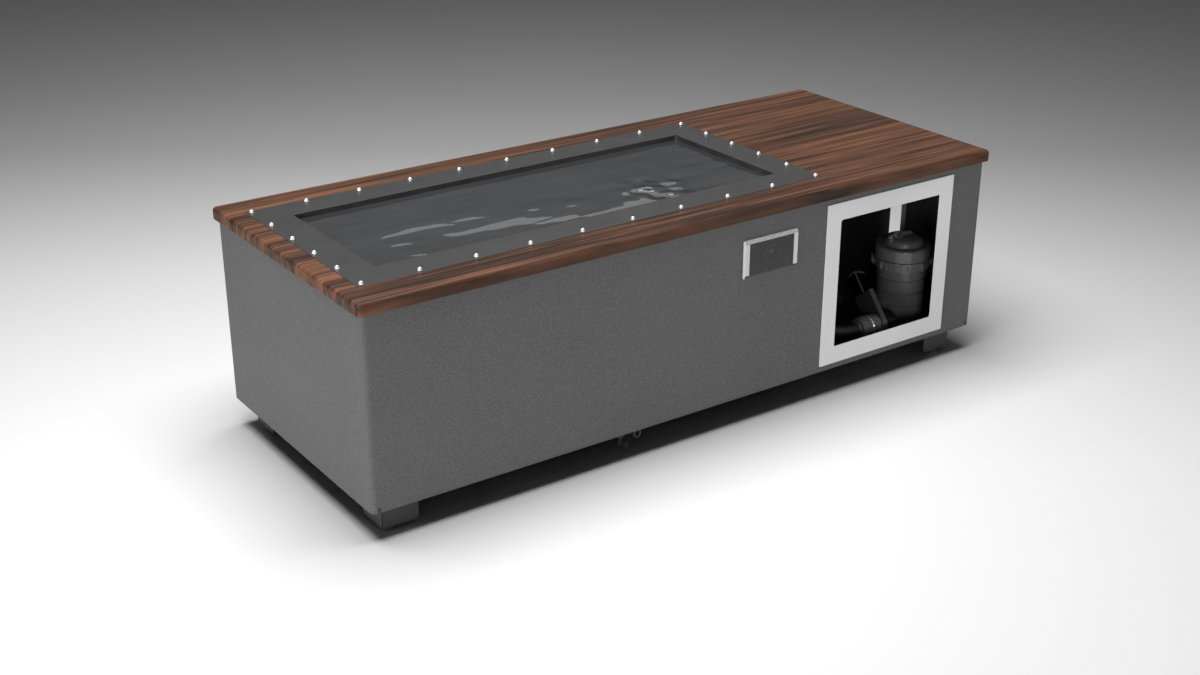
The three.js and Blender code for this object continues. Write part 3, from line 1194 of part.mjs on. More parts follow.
// Pump: a finned motor behind a round volute, on a foot, fed by an elbow from the canister's outlet.
function makePump() {
  const towardsLeft = (geometry) => alongX(geometry).rotateZ(Math.PI).translate(pumpInletX, pumpY, pumpZ);
  const volute = towardsLeft(revolve([
    [PIPE_BORE, 0], [FILTER_PORT_RADIUS, 0], [FILTER_PORT_RADIUS, 12], [PUMP_RADIUS - 14, 18],
    [PUMP_RADIUS, 30],
    [PUMP_RADIUS, PUMP_VOLUTE - 12], [PUMP_RADIUS - 6, PUMP_VOLUTE], [0, PUMP_VOLUTE], [0, 22],
    [PIPE_BORE, 18], [PIPE_BORE, 0],
  ]));
  const neckTop = PUMP_RADIUS + PUMP_NECK;
  const neck = rod(PIPE_RADIUS + 4, PUMP_RADIUS / 2, neckTop).translate(dischargeX, pumpY, pumpZ);
  const neckBore = rod(PIPE_BORE, PUMP_RADIUS - PUMP_NECK, neckTop + FIT)
    .translate(dischargeX, pumpY, pumpZ);
  const foot = block(
    [pumpInletX - PUMP_VOLUTE + 8, pumpInletX - 30],
    [pumpY - PUMP_RADIUS * 0.7, pumpY + PUMP_RADIUS * 0.7],
    [trayTop + FIT, pumpZ - PUMP_RADIUS / 2]);
  const wet = cut(join(volute, neck, foot), neckBore);

  const motorRight = pumpInletX - PUMP_VOLUTE - FIT;
  const motorLeft = motorRight - PUMP_MOTOR_LENGTH;
  const hood = PUMP_HOOD;
  const motorBody = alongX(revolve([
    [0, motorLeft], [PUMP_MOTOR_RADIUS - 10, motorLeft], [PUMP_MOTOR_RADIUS, motorLeft + 10],
    [PUMP_MOTOR_RADIUS, motorLeft + hood], [PUMP_MOTOR_RADIUS - 6, motorLeft + hood + 2],
    [PUMP_MOTOR_RADIUS - 6, motorRight], [0, motorRight],
  ])).translate(0, pumpY, pumpZ);
  const fins = Array.from({ length: PUMP_MOTOR_FINS }, (_, i) =>
    block([motorLeft + hood + 4, motorRight - 8], [-2, 2], [PUMP_MOTOR_RADIUS - 10, PUMP_MOTOR_RADIUS])
      .rotateX((2 * Math.PI * (i + 0.5)) / PUMP_MOTOR_FINS).translate(0, pumpY, pumpZ));
  const saddleX = motorRight - PUMP_SADDLE_FROM_VOLUTE;
  const around = (length) => [saddleX - length / 2, saddleX + length / 2];
  const saddle = block(
    around(PUMP_SADDLE_LENGTH),
    [pumpY - PUMP_MOTOR_RADIUS * 0.8, pumpY + PUMP_MOTOR_RADIUS * 0.8],
    [trayTop + FIT, trayTop + FIT + PUMP_BASE]);
  const web = block(
    around(PUMP_WEB_LENGTH),
    [pumpY - PUMP_MOTOR_RADIUS / 3, pumpY + PUMP_MOTOR_RADIUS / 3],
    [trayTop + FIT, pumpZ - PUMP_MOTOR_RADIUS / 2]);
  const motor = join(motorBody, ...fins, saddle, web);

  const outletX = filterX + FILTER_OUTLET_OFFSET;
  const suction = pipe(bentRoute([
    [outletX, filterY + FILTER_OUTLET_REACH + FIT, pumpZ], [outletX, pumpY, pumpZ],
    [pumpInletX + FIT, pumpY, pumpZ],
  ], PUMP_ELBOW), PIPE_RADIUS, PIPE_BORE);
  const feed = pipe(bentRoute([
    [dischargeX, pumpY, pumpZ + neckTop + FIT], [dischargeX, pumpY, inletPipeZ],
    [dischargeX, exchangerY - EXCHANGER_RADIUS - FIT, inletPipeZ],
  ], PUMP_ELBOW), PIPE_RADIUS, PIPE_BORE);
  return [
    node('pump_volute', wet, PVC),
    node('pump_motor', motor, MOTOR_PAINT),
    node('pump_inlet_pipe', suction, PVC),
    node('chiller_inlet_pipe', feed, PVC),
  ];
}

// Chiller: a sheet cover on a base pan over the compressor, heat exchanger, coil and fan.
function makeChiller() {
  const baseTop = chillerBottom + CHILLER_BASE;
  const coverLow = chillerBottom + CHILLER_BASE / 2;
  const outer = block([chillerLeft, chillerRight], [chillerFront, chillerBack], [coverLow, chillerTop]);
  const s = CHILLER_SHEET;
  const inner = block(
    [chillerLeft + s, chillerRight - s], [chillerFront + s, chillerBack - s],
    [coverLow - s, chillerTop - s]);
  const inset = s + FIT;
  const pan = block(
    [chillerLeft + inset, chillerRight - inset], [chillerFront + inset, chillerBack - inset],
    [chillerBottom, baseTop]);
  const ledge = block([chillerLeft, chillerRight], [chillerFront, chillerBack],
  [chillerBottom, coverLow - FIT]);
  const fanZ = chillerBottom + FAN_HEIGHT;
  const fanHole = alongX(hole(FAN_RADIUS + 6, chillerRight - 4 * s, chillerRight + s, SIDES_LARGE))
    .translate(0, fanY, fanZ);
  const holeRadius = PIPE_RADIUS + PIPE_HOLE_CLEARANCE;
  const pipeHole = alongY(hole(holeRadius, chillerFront - s, chillerFront + 4 * s))
    .translate(dischargeX, 0, inletPipeZ);
  const neckHole = hole(holeRadius, chillerTop - 4 * s, chillerTop + s)
    .translate(dischargeX, exchangerY, 0);
  const louvres = Array.from({ length: LOUVRES }, (_, i) => {
    const z = baseTop + LOUVRE_RISE + i * LOUVRE_PITCH;
    const y = [fanY - LOUVRE_LENGTH / 2, fanY + LOUVRE_LENGTH / 2];
    return block([chillerLeft - s, chillerLeft + 4 * s], y, [z, z + LOUVRE_GAP]);
  });
  const cover = cut(outer, inner, fanHole, pipeHole, neckHole, ...louvres);

  const fanRight = chillerRight - s - 10;
  const fanLeft = fanRight - FAN_DEPTH;
  const motorRight = fanLeft - 6;
  const motorLeft = motorRight - FAN_MOTOR_LENGTH;
  const motor = join(
    alongX(revolve([
      [0, motorLeft], [FAN_MOTOR_RADIUS, motorLeft], [FAN_MOTOR_RADIUS, motorRight - 6],
      [FAN_MOTOR_RADIUS - 8, motorRight],
      [FAN_SHAFT_RADIUS, motorRight], [FAN_SHAFT_RADIUS, fanRight - 8], [0, fanRight - 8],
    ])).translate(0, fanY, fanZ),
    block([motorLeft + 12, motorRight - 12], [fanY - 20, fanY + 20],
    [baseTop + FIT, fanZ - FAN_MOTOR_RADIUS / 2]),
  );
  const fan = makeFanGeometry(fanLeft, fanRight, motorRight).translate(0, fanY, fanZ);

  const coilRight = motorLeft - 12;
  const coilLow = baseTop + FIT;
  const fins = Array.from({ length: COIL_FIN_GROOVES }, (_, i) => {
    const y = fanY - coilWidth / 2 + (coilWidth * (i + 0.5)) / COIL_FIN_GROOVES;
    const z = [coilLow + 12, coilLow + COIL_HEIGHT - 12];
    return [
      block([coilRight - 6, coilRight + 1], [y - 6, y + 6], z),
      block([coilRight - COIL_THICKNESS - 1, coilRight - COIL_THICKNESS + 6], [y - 6, y + 6], z),
    ];
  }).flat();
  const coilY = [fanY - coilWidth / 2, fanY + coilWidth / 2];
  const coilZ = [coilLow, coilLow + COIL_HEIGHT];
  const coilBlock = block([coilRight - COIL_THICKNESS, coilRight], coilY, coilZ);
  const coil = cut(coilBlock, ...fins);

  const compressor = revolve([
    [0, 0], [COMPRESSOR_RADIUS + 14, 0], [COMPRESSOR_RADIUS + 14, 8], [COMPRESSOR_RADIUS, 12],
    [COMPRESSOR_RADIUS, COMPRESSOR_HEIGHT / 2], [COMPRESSOR_RADIUS + 5, COMPRESSOR_HEIGHT / 2],
    [COMPRESSOR_RADIUS + 5, COMPRESSOR_HEIGHT / 2 + 10], [COMPRESSOR_RADIUS, COMPRESSOR_HEIGHT / 2 + 10],
    ...arcPoints(
      COMPRESSOR_RADIUS - COMPRESSOR_ROUND, COMPRESSOR_HEIGHT - COMPRESSOR_ROUND,
      COMPRESSOR_ROUND, 0, 90, 4),
    [0, COMPRESSOR_HEIGHT],
  ]).translate(chillerLeft + COMPRESSOR_INSET_X, chillerFront + COMPRESSOR_INSET_Y, baseTop + FIT);

  const neckTop = exchangerNeckTop() - baseTop - FIT;
  const neckRadius = PIPE_RADIUS;
  const sidePort = inletPipeZ - baseTop - FIT;
  const exchangerShell = revolve([
    [0, 0], [EXCHANGER_RADIUS, 0], [EXCHANGER_RADIUS, 14], [EXCHANGER_RADIUS - 5, 18],
    [EXCHANGER_RADIUS - 5, EXCHANGER_HEIGHT - 40], [EXCHANGER_RADIUS, EXCHANGER_HEIGHT - 36],
    [EXCHANGER_RADIUS, EXCHANGER_HEIGHT - 16], [EXCHANGER_RADIUS - 16, EXCHANGER_HEIGHT],
    [neckRadius, EXCHANGER_HEIGHT], [neckRadius, neckTop], [0, neckTop],
  ]);
  const port = alongY(rod(PIPE_RADIUS + 6, -EXCHANGER_RADIUS, 0)).translate(0, 0, sidePort);
  const exchanger = join(exchangerShell, port).translate(dischargeX, exchangerY, baseTop + FIT);

  return [
    node('chiller_cover', cover, CHILLER_PAINT),
    node('chiller_base', join(pan, ledge), CHILLER_PAINT),
    node('chiller_fan_motor', motor, MOTOR_PAINT),
    node('chiller_fan', fan, RUBBER),
    node('condenser_coil', coil, COIL_METAL),
    node('compressor', compressor, MOTOR_PAINT),
    node('heat_exchanger', exchanger, PVC),
  ];
}

// Axial fan: pitched blades on a hub that turns on the motor's shaft.
function makeFanGeometry(left, right, motorRight) {
  const hub = alongX(revolve([
    [FAN_SHAFT_RADIUS + FIT, motorRight + 4], [FAN_HUB_RADIUS, motorRight + 4],
    [FAN_HUB_RADIUS, right - 6],
    [FAN_HUB_RADIUS - 6, right], [0, right], [0, right - 8 + SLIDE_FIT],
    [FAN_SHAFT_RADIUS + FIT, right - 8 + SLIDE_FIT],
    [FAN_SHAFT_RADIUS + FIT, motorRight + 4],
  ]));
  const blade = new THREE.Shape();
  blade.moveTo(-14, FAN_HUB_RADIUS - 8);
  blade.lineTo(14, FAN_HUB_RADIUS - 8);
  blade.quadraticCurveTo(34, FAN_RADIUS * 0.6, 30, FAN_RADIUS * 0.96);
  blade.quadraticCurveTo(0, FAN_RADIUS, -26, FAN_RADIUS * 0.96);
  blade.quadraticCurveTo(-18, FAN_RADIUS * 0.6, -14, FAN_HUB_RADIUS - 8);
  const pitch = THREE.MathUtils.degToRad(28);
  const middle = (left + right) / 2;
  const blades = Array.from({ length: FAN_BLADES }, (_, i) =>
    facingEnd(prism(blade, 3, 2).translate(0, 0, -1.5)).rotateZ(pitch)
      .rotateX((2 * Math.PI * i) / FAN_BLADES).translate(middle, 0, 0));
  return join(hub, ...blades);
}

const tub = new THREE.Group();
tub.name = 'cold_plunge_tub';
tub.add(
  makeDeck(), makeRim(), makeLiner(), makeJacket(), ...makeSkirt(), ...makeHatchFrames(),
  makePanel(), ...makeLegs(),
  ...makeBase(), ...makeFittings(), ...makeDrain(), makeFilter(), makeGateValve(),
  makeFilterInlet(), ...makePump(),
  ...makeChiller(),
);

export default tub;
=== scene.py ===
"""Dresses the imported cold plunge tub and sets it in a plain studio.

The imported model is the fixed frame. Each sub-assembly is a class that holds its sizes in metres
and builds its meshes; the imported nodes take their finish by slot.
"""

import json
import logging
import math
from dataclasses import dataclass
from enum import Enum

import bmesh
import bpy
from mathutils import Matrix, Vector, noise


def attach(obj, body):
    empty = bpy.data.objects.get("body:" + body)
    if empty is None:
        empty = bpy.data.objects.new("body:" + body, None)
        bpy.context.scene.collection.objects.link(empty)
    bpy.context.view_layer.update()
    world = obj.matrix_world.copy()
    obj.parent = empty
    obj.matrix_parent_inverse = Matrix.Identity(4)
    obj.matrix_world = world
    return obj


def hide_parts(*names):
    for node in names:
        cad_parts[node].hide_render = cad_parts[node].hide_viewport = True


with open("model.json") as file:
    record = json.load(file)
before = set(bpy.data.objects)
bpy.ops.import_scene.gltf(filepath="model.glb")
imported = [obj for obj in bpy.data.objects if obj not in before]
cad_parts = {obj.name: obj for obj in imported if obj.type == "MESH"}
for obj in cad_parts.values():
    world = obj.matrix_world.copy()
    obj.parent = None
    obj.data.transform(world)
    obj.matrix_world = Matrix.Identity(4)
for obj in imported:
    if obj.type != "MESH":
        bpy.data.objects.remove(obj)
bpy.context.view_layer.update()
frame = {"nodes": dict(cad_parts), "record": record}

logging.basicConfig(level=logging.INFO, format="%(name)s: %(message)s")
log = logging.getLogger("plunge_tub")

Colour = tuple[float, float, float]
Point = tuple[float, float, float]
Profile = list[tuple[float, float]]

SMOOTH_BELOW = math.radians(38)
ROUND_STEPS = 56
PIPE_SIDES = 28


class Body(Enum):
    """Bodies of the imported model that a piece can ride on."""

    TUB = "tub"
    GATE = "gate"
    LID = "filter_lid"
    RING = "filter_lock_ring"
    BLEED = "filter_air_bleed"
    LEVER = "drain_lever"
    EYEBALL = "jet_eyeball"
    FAN = "chiller_fan"


class Slot(Enum):
    """Material slots of the record."""

    WALNUT = "walnut"
    POWDER_COAT = "powder_coat"
    GLOSS_RIM = "gloss_rim"
    BASIN = "basin_black"
    FOAM = "foam"
    WHITE_FRAME = "white_frame"
    SILVER = "silver"
    DARK_GLASS = "dark_glass"
    LEG_PAINT = "leg_paint"
    RUBBER = "rubber"
    FRAME_STEEL = "frame_steel"
    BOARD = "board"
    FILTER_PLASTIC = "filter_plastic"
    FILTER_MEDIA = "filter_media"
    PVC = "pvc"
    STAINLESS = "stainless"
    CHILLER_PAINT = "chiller_paint"
    COIL_METAL = "coil_metal"
    MOTOR_PAINT = "motor_paint"


class Axis(Enum):
    """Directions that a turned shape's own Z axis can be laid along."""

    UP = Matrix.Identity(4)
    ALONG_X = Matrix.Rotation(math.pi / 2, 4, "Y")
    ALONG_Y = Matrix.Rotation(-math.pi / 2, 4, "X")
    TOWARDS_FRONT = Matrix.Rotation(math.pi / 2, 4, "X")
    TOWARDS_LEFT = Matrix.Rotation(-math.pi / 2, 4, "Y")


def grey(level: float) -> Colour:
    """Returns a neutral linear colour for a display level from 0 to 255."""
    return shade(level, level, level)


def shade(red: float, green: float, blue: float) -> Colour:
    """Turns a display colour into a linear one.

    Args:
        red: Display level of red, from 0 to 255.
        green: Display level of green.
        blue: Display level of blue.

    Returns:
        The linear colour.
    """

    def linear(level: float) -> float:
        """Returns the linear value of one display level."""
        share = level / 255
        return share / 12.92 if share <= 0.04045 else ((share + 0.055) / 1.055) ** 2.4

    return (linear(red), linear(green), linear(blue))


class NodeBuilder:
    """Adds and links nodes in one node tree."""

    def __init__(self, tree: bpy.types.NodeTree) -> None:
        """Keeps the tree that the nodes go into."""
        self.tree = tree

    def add(self, kind: str, settings: dict | None = None, **inputs: object) -> bpy.types.Node:
        """Adds a node.

        Args:
            kind: The node's type name without its ShaderNode prefix.
            settings: Properties of the node itself.
            **inputs: Values or source sockets for its inputs; underscores stand for spaces.

        Returns:
            The new node.
        """
        node = self.tree.nodes.new("ShaderNode" + kind)
        for key, value in (settings or {}).items():
            setattr(node, key, value)
        for key, value in inputs.items():
            self.feed(node.inputs[key.replace("_", " ")], value)
        return node

    def feed(self, socket: bpy.types.NodeSocket, value: object) -> None:
        """Links a source socket to an input, or sets its value."""
        if isinstance(value, bpy.types.NodeSocket):
            self.tree.links.new(value, socket)
            return
        wants_alpha = socket.type == "RGBA" and len(value) == 3
        socket.default_value = (*value, 1.0) if wants_alpha else value

    def math(self, operation: str, first: object, second: object = 0.0) -> bpy.types.NodeSocket:
        """Returns the result of a Math node on two values."""
        node = self.add("Math", {"operation": operation})
        self.feed(node.inputs[0], first)
        self.feed(node.inputs[1], second)
        return node.outputs[0]

    def mix(self, share: object, first: object, second: object) -> bpy.types.NodeSocket:
        """Returns a colour mixed from two by a share."""
        node = self.add("Mix", {"data_type": "RGBA"})
        self.feed(node.inputs[0], share)
        self.feed(node.inputs[6], first)
        self.feed(node.inputs[7], second)
        return node.outputs[2]

    def span(self, value: object, low: float, high: float, to: tuple[float, float]) -> bpy.types.NodeSocket:
        """Maps a range of values to another, clamped.

        Args:
            value: Source socket.
            low: Lowest value that counts.
            high: Highest value that counts.
            to: The two values that these become.

        Returns:
            The mapped value.
        """
        node = self.add("MapRange", {"clamp": True})
        for index, number in enumerate((value, low, high, *to)):
            self.feed(node.inputs[index], number)
        return node.outputs[0]

    def stretch(self, vector: object, scale: Point, turn: Point = (0, 0, 0)) -> bpy.types.NodeSocket:
        """Returns coordinates scaled and turned by a Mapping node."""
        node = self.add("Mapping", Vector=vector)
        node.inputs["Scale"].default_value = scale
        node.inputs["Rotation"].default_value = turn
        return node.outputs[0]

    def noise(self, vector: object, scale: float, detail: float = 3.0, warp: float = 0.0) -> bpy.types.NodeSocket:
        """Returns the value of a Noise node."""
        node = self.add("TexNoise", Vector=vector, Scale=scale, Detail=detail, Distortion=warp)
        return node.outputs[0]


class PatternGroup:
    """A shader node group that several finishes share."""

    def __init__(self, name: str, inputs: dict[str, float], outputs: list[str]) -> None:
        """Makes the group with a Vector input, the named values and the named outputs."""
        self.tree = bpy.data.node_groups.new(name, "ShaderNodeTree")
        face = self.tree.interface
        face.new_socket("Vector", in_out="INPUT", socket_type="NodeSocketVector")
        for key, value in inputs.items():
            socket = face.new_socket(key, in_out="INPUT", socket_type="NodeSocketFloat")
            socket.default_value = value
        for key in outputs:
            face.new_socket(key, in_out="OUTPUT", socket_type="NodeSocketFloat")
        self.build = NodeBuilder(self.tree)
        self.source = self.tree.nodes.new("NodeGroupInput")
        self.result = self.tree.nodes.new("NodeGroupOutput")

    def take(self, name: str) -> bpy.types.NodeSocket:
        """Returns one of the group's inputs as a source."""
        return self.source.outputs[name]

    def give(self, **values: bpy.types.NodeSocket) -> None:
        """Links the group's outputs."""
        for key, socket in values.items():
            self.tree.links.new(socket, self.result.inputs[key])


class Patterns:
    """The pattern groups, each built once."""

    def __init__(self) -> None:
        """Builds every group."""
        self.speckle = self.make_speckle()
        self.grain = self.make_grain()
        self.moulding = self.make_moulding()
        self.brushing = self.make_brushing()

    @staticmethod
    def make_speckle() -> bpy.types.NodeTree:
        """Returns the fleck and peel of a textured powder coat."""
        group = PatternGroup("powder_speckle", {"Scale": 300.0}, ["Fleck", "Cloud", "Height"])
        build = group.build
        vector = build.stretch(group.take("Vector"), (1, 1, 1), (0.4, 0.7, 0.2))
        fine = build.noise(vector, 1.0, 2.0)
        build.feed(fine.node.inputs["Scale"], group.take("Scale"))
        coarse = build.noise(vector, 1.0, 2.0)
        build.feed(coarse.node.inputs["Scale"], build.math("MULTIPLY", group.take("Scale"), 0.33))
        cloud = build.noise(vector, 2.2, 2.0)
        fleck = build.span(fine, 0.42, 0.72, (0.0, 1.0))
        height = build.math("ADD", build.math("MULTIPLY", coarse, 0.7), build.math("MULTIPLY", fine, 0.5))
        group.give(Fleck=fleck, Cloud=cloud, Height=height)
        return group.tree

    @staticmethod
    def make_grain() -> bpy.types.NodeTree:
        """Returns the figure of a dark hardwood whose grain runs along X."""
        group = PatternGroup("hardwood_grain", {"Wander": 0.35}, ["Figure", "Pores", "Height"])
        build = group.build
        vector = group.take("Vector")
        bend = build.noise(build.stretch(vector, (1.4, 5.0, 3.0)), 1.0, 2.0)
        drift = build.math("MULTIPLY", build.math("SUBTRACT", bend, 0.5), group.take("Wander"))
        moved = build.add("VectorMath", {"operation": "ADD"})
        build.feed(moved.inputs[0], build.stretch(vector, (0.7, 26.0, 9.0)))
        shift = build.add("CombineXYZ", Y=drift, Z=drift)
        build.feed(moved.inputs[1], shift.outputs[0])
        bands = build.noise(moved.outputs[0], 1.0, 5.0, 0.55)
        stripes = build.noise(build.stretch(vector, (2.6, 90.0, 26.0)), 1.0, 4.0, 0.5)
        fibres = build.noise(build.stretch(vector, (9.0, 420.0, 120.0)), 1.0, 3.0)
        wide = build.span(bands, 0.3, 0.7, (0.0, 0.56))
        narrow = build.span(stripes, 0.34, 0.66, (0.0, 0.36))
        thin = build.span(fibres, 0.3, 0.7, (0.0, 0.1))
        figure = build.math("ADD", build.math("ADD", wide, narrow), thin)
        pores = build.span(fibres, 0.62, 0.74, (0.0, 1.0))
        height = build.math("SUBTRACT", build.math("MULTIPLY", stripes, 0.4), build.math("MULTIPLY", pores, 0.6))
        group.give(Figure=figure, Pores=pores, Height=height)
        return group.tree

    @staticmethod
    def make_moulding() -> bpy.types.NodeTree:
        """Returns the tone and fine skin of a moulded or cast surface."""
        group = PatternGroup("moulded_skin", {"Scale": 900.0}, ["Tone", "Height"])
        build = group.build
        vector = group.take("Vector")
        skin = build.noise(vector, 1.0, 2.0)
        build.feed(skin.node.inputs["Scale"], group.take("Scale"))
        cloud = build.noise(vector, 14.0, 4.0)
        group.give(Tone=cloud, Height=skin)
        return group.tree

    @staticmethod
    def make_brushing() -> bpy.types.NodeTree:
        """Returns the fine lines of brushed metal along X."""
        group = PatternGroup("brushed_lines", {"Length": 6.0}, ["Line", "Cloud"])
        build = group.build
        vector = group.take("Vector")
        lines = build.noise(build.stretch(vector, (6.0, 900.0, 900.0)), 1.0, 3.0)
        cloud = build.noise(vector, 9.0, 3.0)
        group.give(Line=lines, Cloud=cloud)
        return group.tree


class Finish:
    """Base of every finish: a material with a Principled shader on Object coordinates."""

    def start(self, name: str) -> None:
        """Makes the material and finds its shader."""
        self.material = bpy.data.materials.new(name)
        self.material.use_nodes = True
        self.build = NodeBuilder(self.material.node_tree)
        self.shader = self.material.node_tree.nodes["Principled BSDF"]
        self.coordinates = self.build.add("TexCoord").outputs["Object"]

    def pattern(self, tree: bpy.types.NodeTree, **values: float) -> bpy.types.Node:
        """Places a pattern group, on Object coordinates, with its own values."""
        node = self.build.add("Group", {"node_tree": tree})
        self.build.feed(node.inputs["Vector"], self.coordinates)
        for key, value in values.items():
            node.inputs[key].default_value = value
        return node

    def set(self, **values: object) -> None:
        """Sets or links the shader's inputs; underscores stand for spaces."""
        for key, value in values.items():
            self.build.feed(self.shader.inputs[key.replace("_", " ")], value)

    def bump(self, height: object, strength: float, depth: float) -> None:
        """Feeds a height to the shader's normal."""
        node = self.build.add("Bump", Height=height, Strength=strength, Distance=depth)
        self.set(Normal=node.outputs[0])


@dataclass(frozen=True)
class WoodFinish:
    """Oiled dark hardwood with its grain along X."""

    dark: Colour = shade(40, 25, 18)
    brown: Colour = shade(70, 44, 31)
    warm: Colour = shade(92, 60, 42)
    pale: Colour = shade(118, 79, 57)
    roughness: tuple[float, float] = (0.42, 0.56)

    def make(self, name: str, patterns: Patterns) -> bpy.types.Material:
        """Returns the material."""
        finish = Finish()
        finish.start(name)
        build = finish.build
        grain = finish.pattern(patterns.grain)
        ramp = build.add("ValToRGB", Fac=grain.outputs["Figure"])
        stops = ramp.color_ramp.elements
        stops[0].position = 0.26
        stops[0].color = (*self.dark, 1)
        stops[1].position = 0.82
        stops[1].color = (*self.pale, 1)
        for place, colour in ((0.43, self.brown), (0.6, self.warm)):
            stops.new(place).color = (*colour, 1)
        pores = build.math("MULTIPLY", grain.outputs["Pores"], 0.35)
        finish.set(Base_Color=build.mix(pores, ramp.outputs[0], self.dark))
        finish.set(Roughness=build.span(grain.outputs["Figure"], 0.1, 0.9, self.roughness))
        finish.set(Specular_IOR_Level=0.22)
        finish.bump(grain.outputs["Height"], 0.25, 0.0004)
        return finish.material


@dataclass(frozen=True)
class CoatFinish:
    """Textured powder coat or matte paint on sheet metal."""

    base: Colour
    fleck: Colour
    scale: float = 300.0
    roughness: float = 0.6
    relief: float = 0.5

    def make(self, name: str, patterns: Patterns) -> bpy.types.Material:
        """Returns the material."""
        finish = Finish()
        finish.start(name)
        build = finish.build
        speckle = finish.pattern(patterns.speckle, Scale=self.scale)
        deep = tuple(0.86 * part for part in self.base)
        cloud = build.mix(build.span(speckle.outputs["Cloud"], 0.35, 0.65, (0.0, 1.0)), deep, self.base)
        finish.set(Base_Color=build.mix(speckle.outputs["Fleck"], cloud, self.fleck))
        rough = (self.roughness, self.roughness - 0.12)
        finish.set(Roughness=build.span(speckle.outputs["Fleck"], 0.0, 1.0, rough))
        finish.bump(speckle.outputs["Height"], self.relief, 0.0012)
        return finish.material


@dataclass(frozen=True)
class PlasticFinish:
    """Moulded plastic, rubber or a smooth painted casting."""

    dark: Colour
    light: Colour
    roughness: tuple[float, float] = (0.32, 0.46)
    skin: float = 900.0
    relief: float = 0.15
    gloss: float = 0.5

    def make(self, name: str, patterns: Patterns) -> bpy.types.Material:
        """Returns the material."""
        finish = Finish()
        finish.start(name)
        build = finish.build
        moulding = finish.pattern(patterns.moulding, Scale=self.skin)
        tone = build.span(moulding.outputs["Tone"], 0.3, 0.7, (0.0, 1.0))
        finish.set(Base_Color=build.mix(tone, self.dark, self.light))
        finish.set(Roughness=build.span(tone, 0.0, 1.0, self.roughness), Specular_IOR_Level=self.gloss)
        finish.bump(moulding.outputs["Height"], self.relief, 0.0003)
        return finish.material


@dataclass(frozen=True)
class MetalFinish:
    """Bare metal, from mirror polish to a satin brush."""

    colour: Colour
    roughness: tuple[float, float] = (0.18, 0.32)
    metal: float = 1.0

    def make(self, name: str, patterns: Patterns) -> bpy.types.Material:
        """Returns the material."""
        finish = Finish()
        finish.start(name)
        build = finish.build
        lines = finish.pattern(patterns.brushing)
        worn = tuple(0.82 * part for part in self.colour)
        tone = build.span(lines.outputs["Cloud"], 0.3, 0.7, (0.0, 1.0))
        finish.set(Base_Color=build.mix(tone, worn, self.colour))
        finish.set(Metallic=self.metal)
        finish.set(Roughness=build.span(lines.outputs["Line"], 0.3, 0.7, self.roughness))
        return finish.material


@dataclass(frozen=True)
class GlossFinish:
    """Hard gloss: the rim plate and the panel's dark face."""

    base: Colour
    roughness: tuple[float, float]
    stretched: float = 0.0

    def make(self, name: str, patterns: Patterns) -> bpy.types.Material:
        """Returns the material."""
        finish = Finish()
        finish.start(name)
        build = finish.build
        moulding = finish.pattern(patterns.moulding, Scale=60.0)
        tone = build.span(moulding.outputs["Tone"], 0.35, 0.65, (0.0, 1.0))
        deep = tuple(0.9 * part for part in self.base)
        finish.set(Base_Color=build.mix(tone, deep, self.base))
        finish.set(Roughness=build.span(tone, 0.0, 1.0, self.roughness))
        if self.stretched:
            finish.set(Anisotropic=self.stretched)
            tangent = build.add("Tangent", {"direction_type": "UV_MAP", "uv_map": "plan"})
            finish.set(Tangent=tangent.outputs[0])
        return finish.material


@dataclass(frozen=True)
class WaterFinish:
    """Water over a black basin: a dark body with a clear share, under a mirror-smooth skin."""

    tint: Colour = shade(60, 62, 65)
    clear: float = 0.25

    def make(self, name: str, patterns: Patterns) -> bpy.types.Material:
        """Returns the material."""
        finish = Finish()
        finish.start(name)
        build = finish.build
        murk = build.noise(build.stretch(finish.coordinates, (3.0, 8.0, 3.0)), 1.0, 2.0)
        deep = tuple(0.82 * part for part in self.tint)
        finish.set(Base_Color=build.mix(build.span(murk, 0.3, 0.7, (0.0, 1.0)), deep, self.tint))
        finish.set(Roughness=0.02, IOR=1.333, Transmission_Weight=self.clear)
        ripple = build.noise(build.stretch(finish.coordinates, (9.0, 20.0, 9.0)), 1.0, 1.0)
        finish.bump(ripple, 0.05, 0.01)
        return finish.material


@dataclass(frozen=True)
class MarkFinish:
    """Thin printed marks on the panel."""

    colour: Colour = grey(84)

    def make(self, name: str, patterns: Patterns) -> bpy.types.Material:
        """Returns the material."""
        finish = Finish()
        finish.start(name)
        tone = finish.build.noise(finish.coordinates, 400.0, 2.0)
        deep = tuple(0.85 * part for part in self.colour)
        finish.set(Base_Color=finish.build.mix(tone, deep, self.colour), Roughness=0.5)
        return finish.material


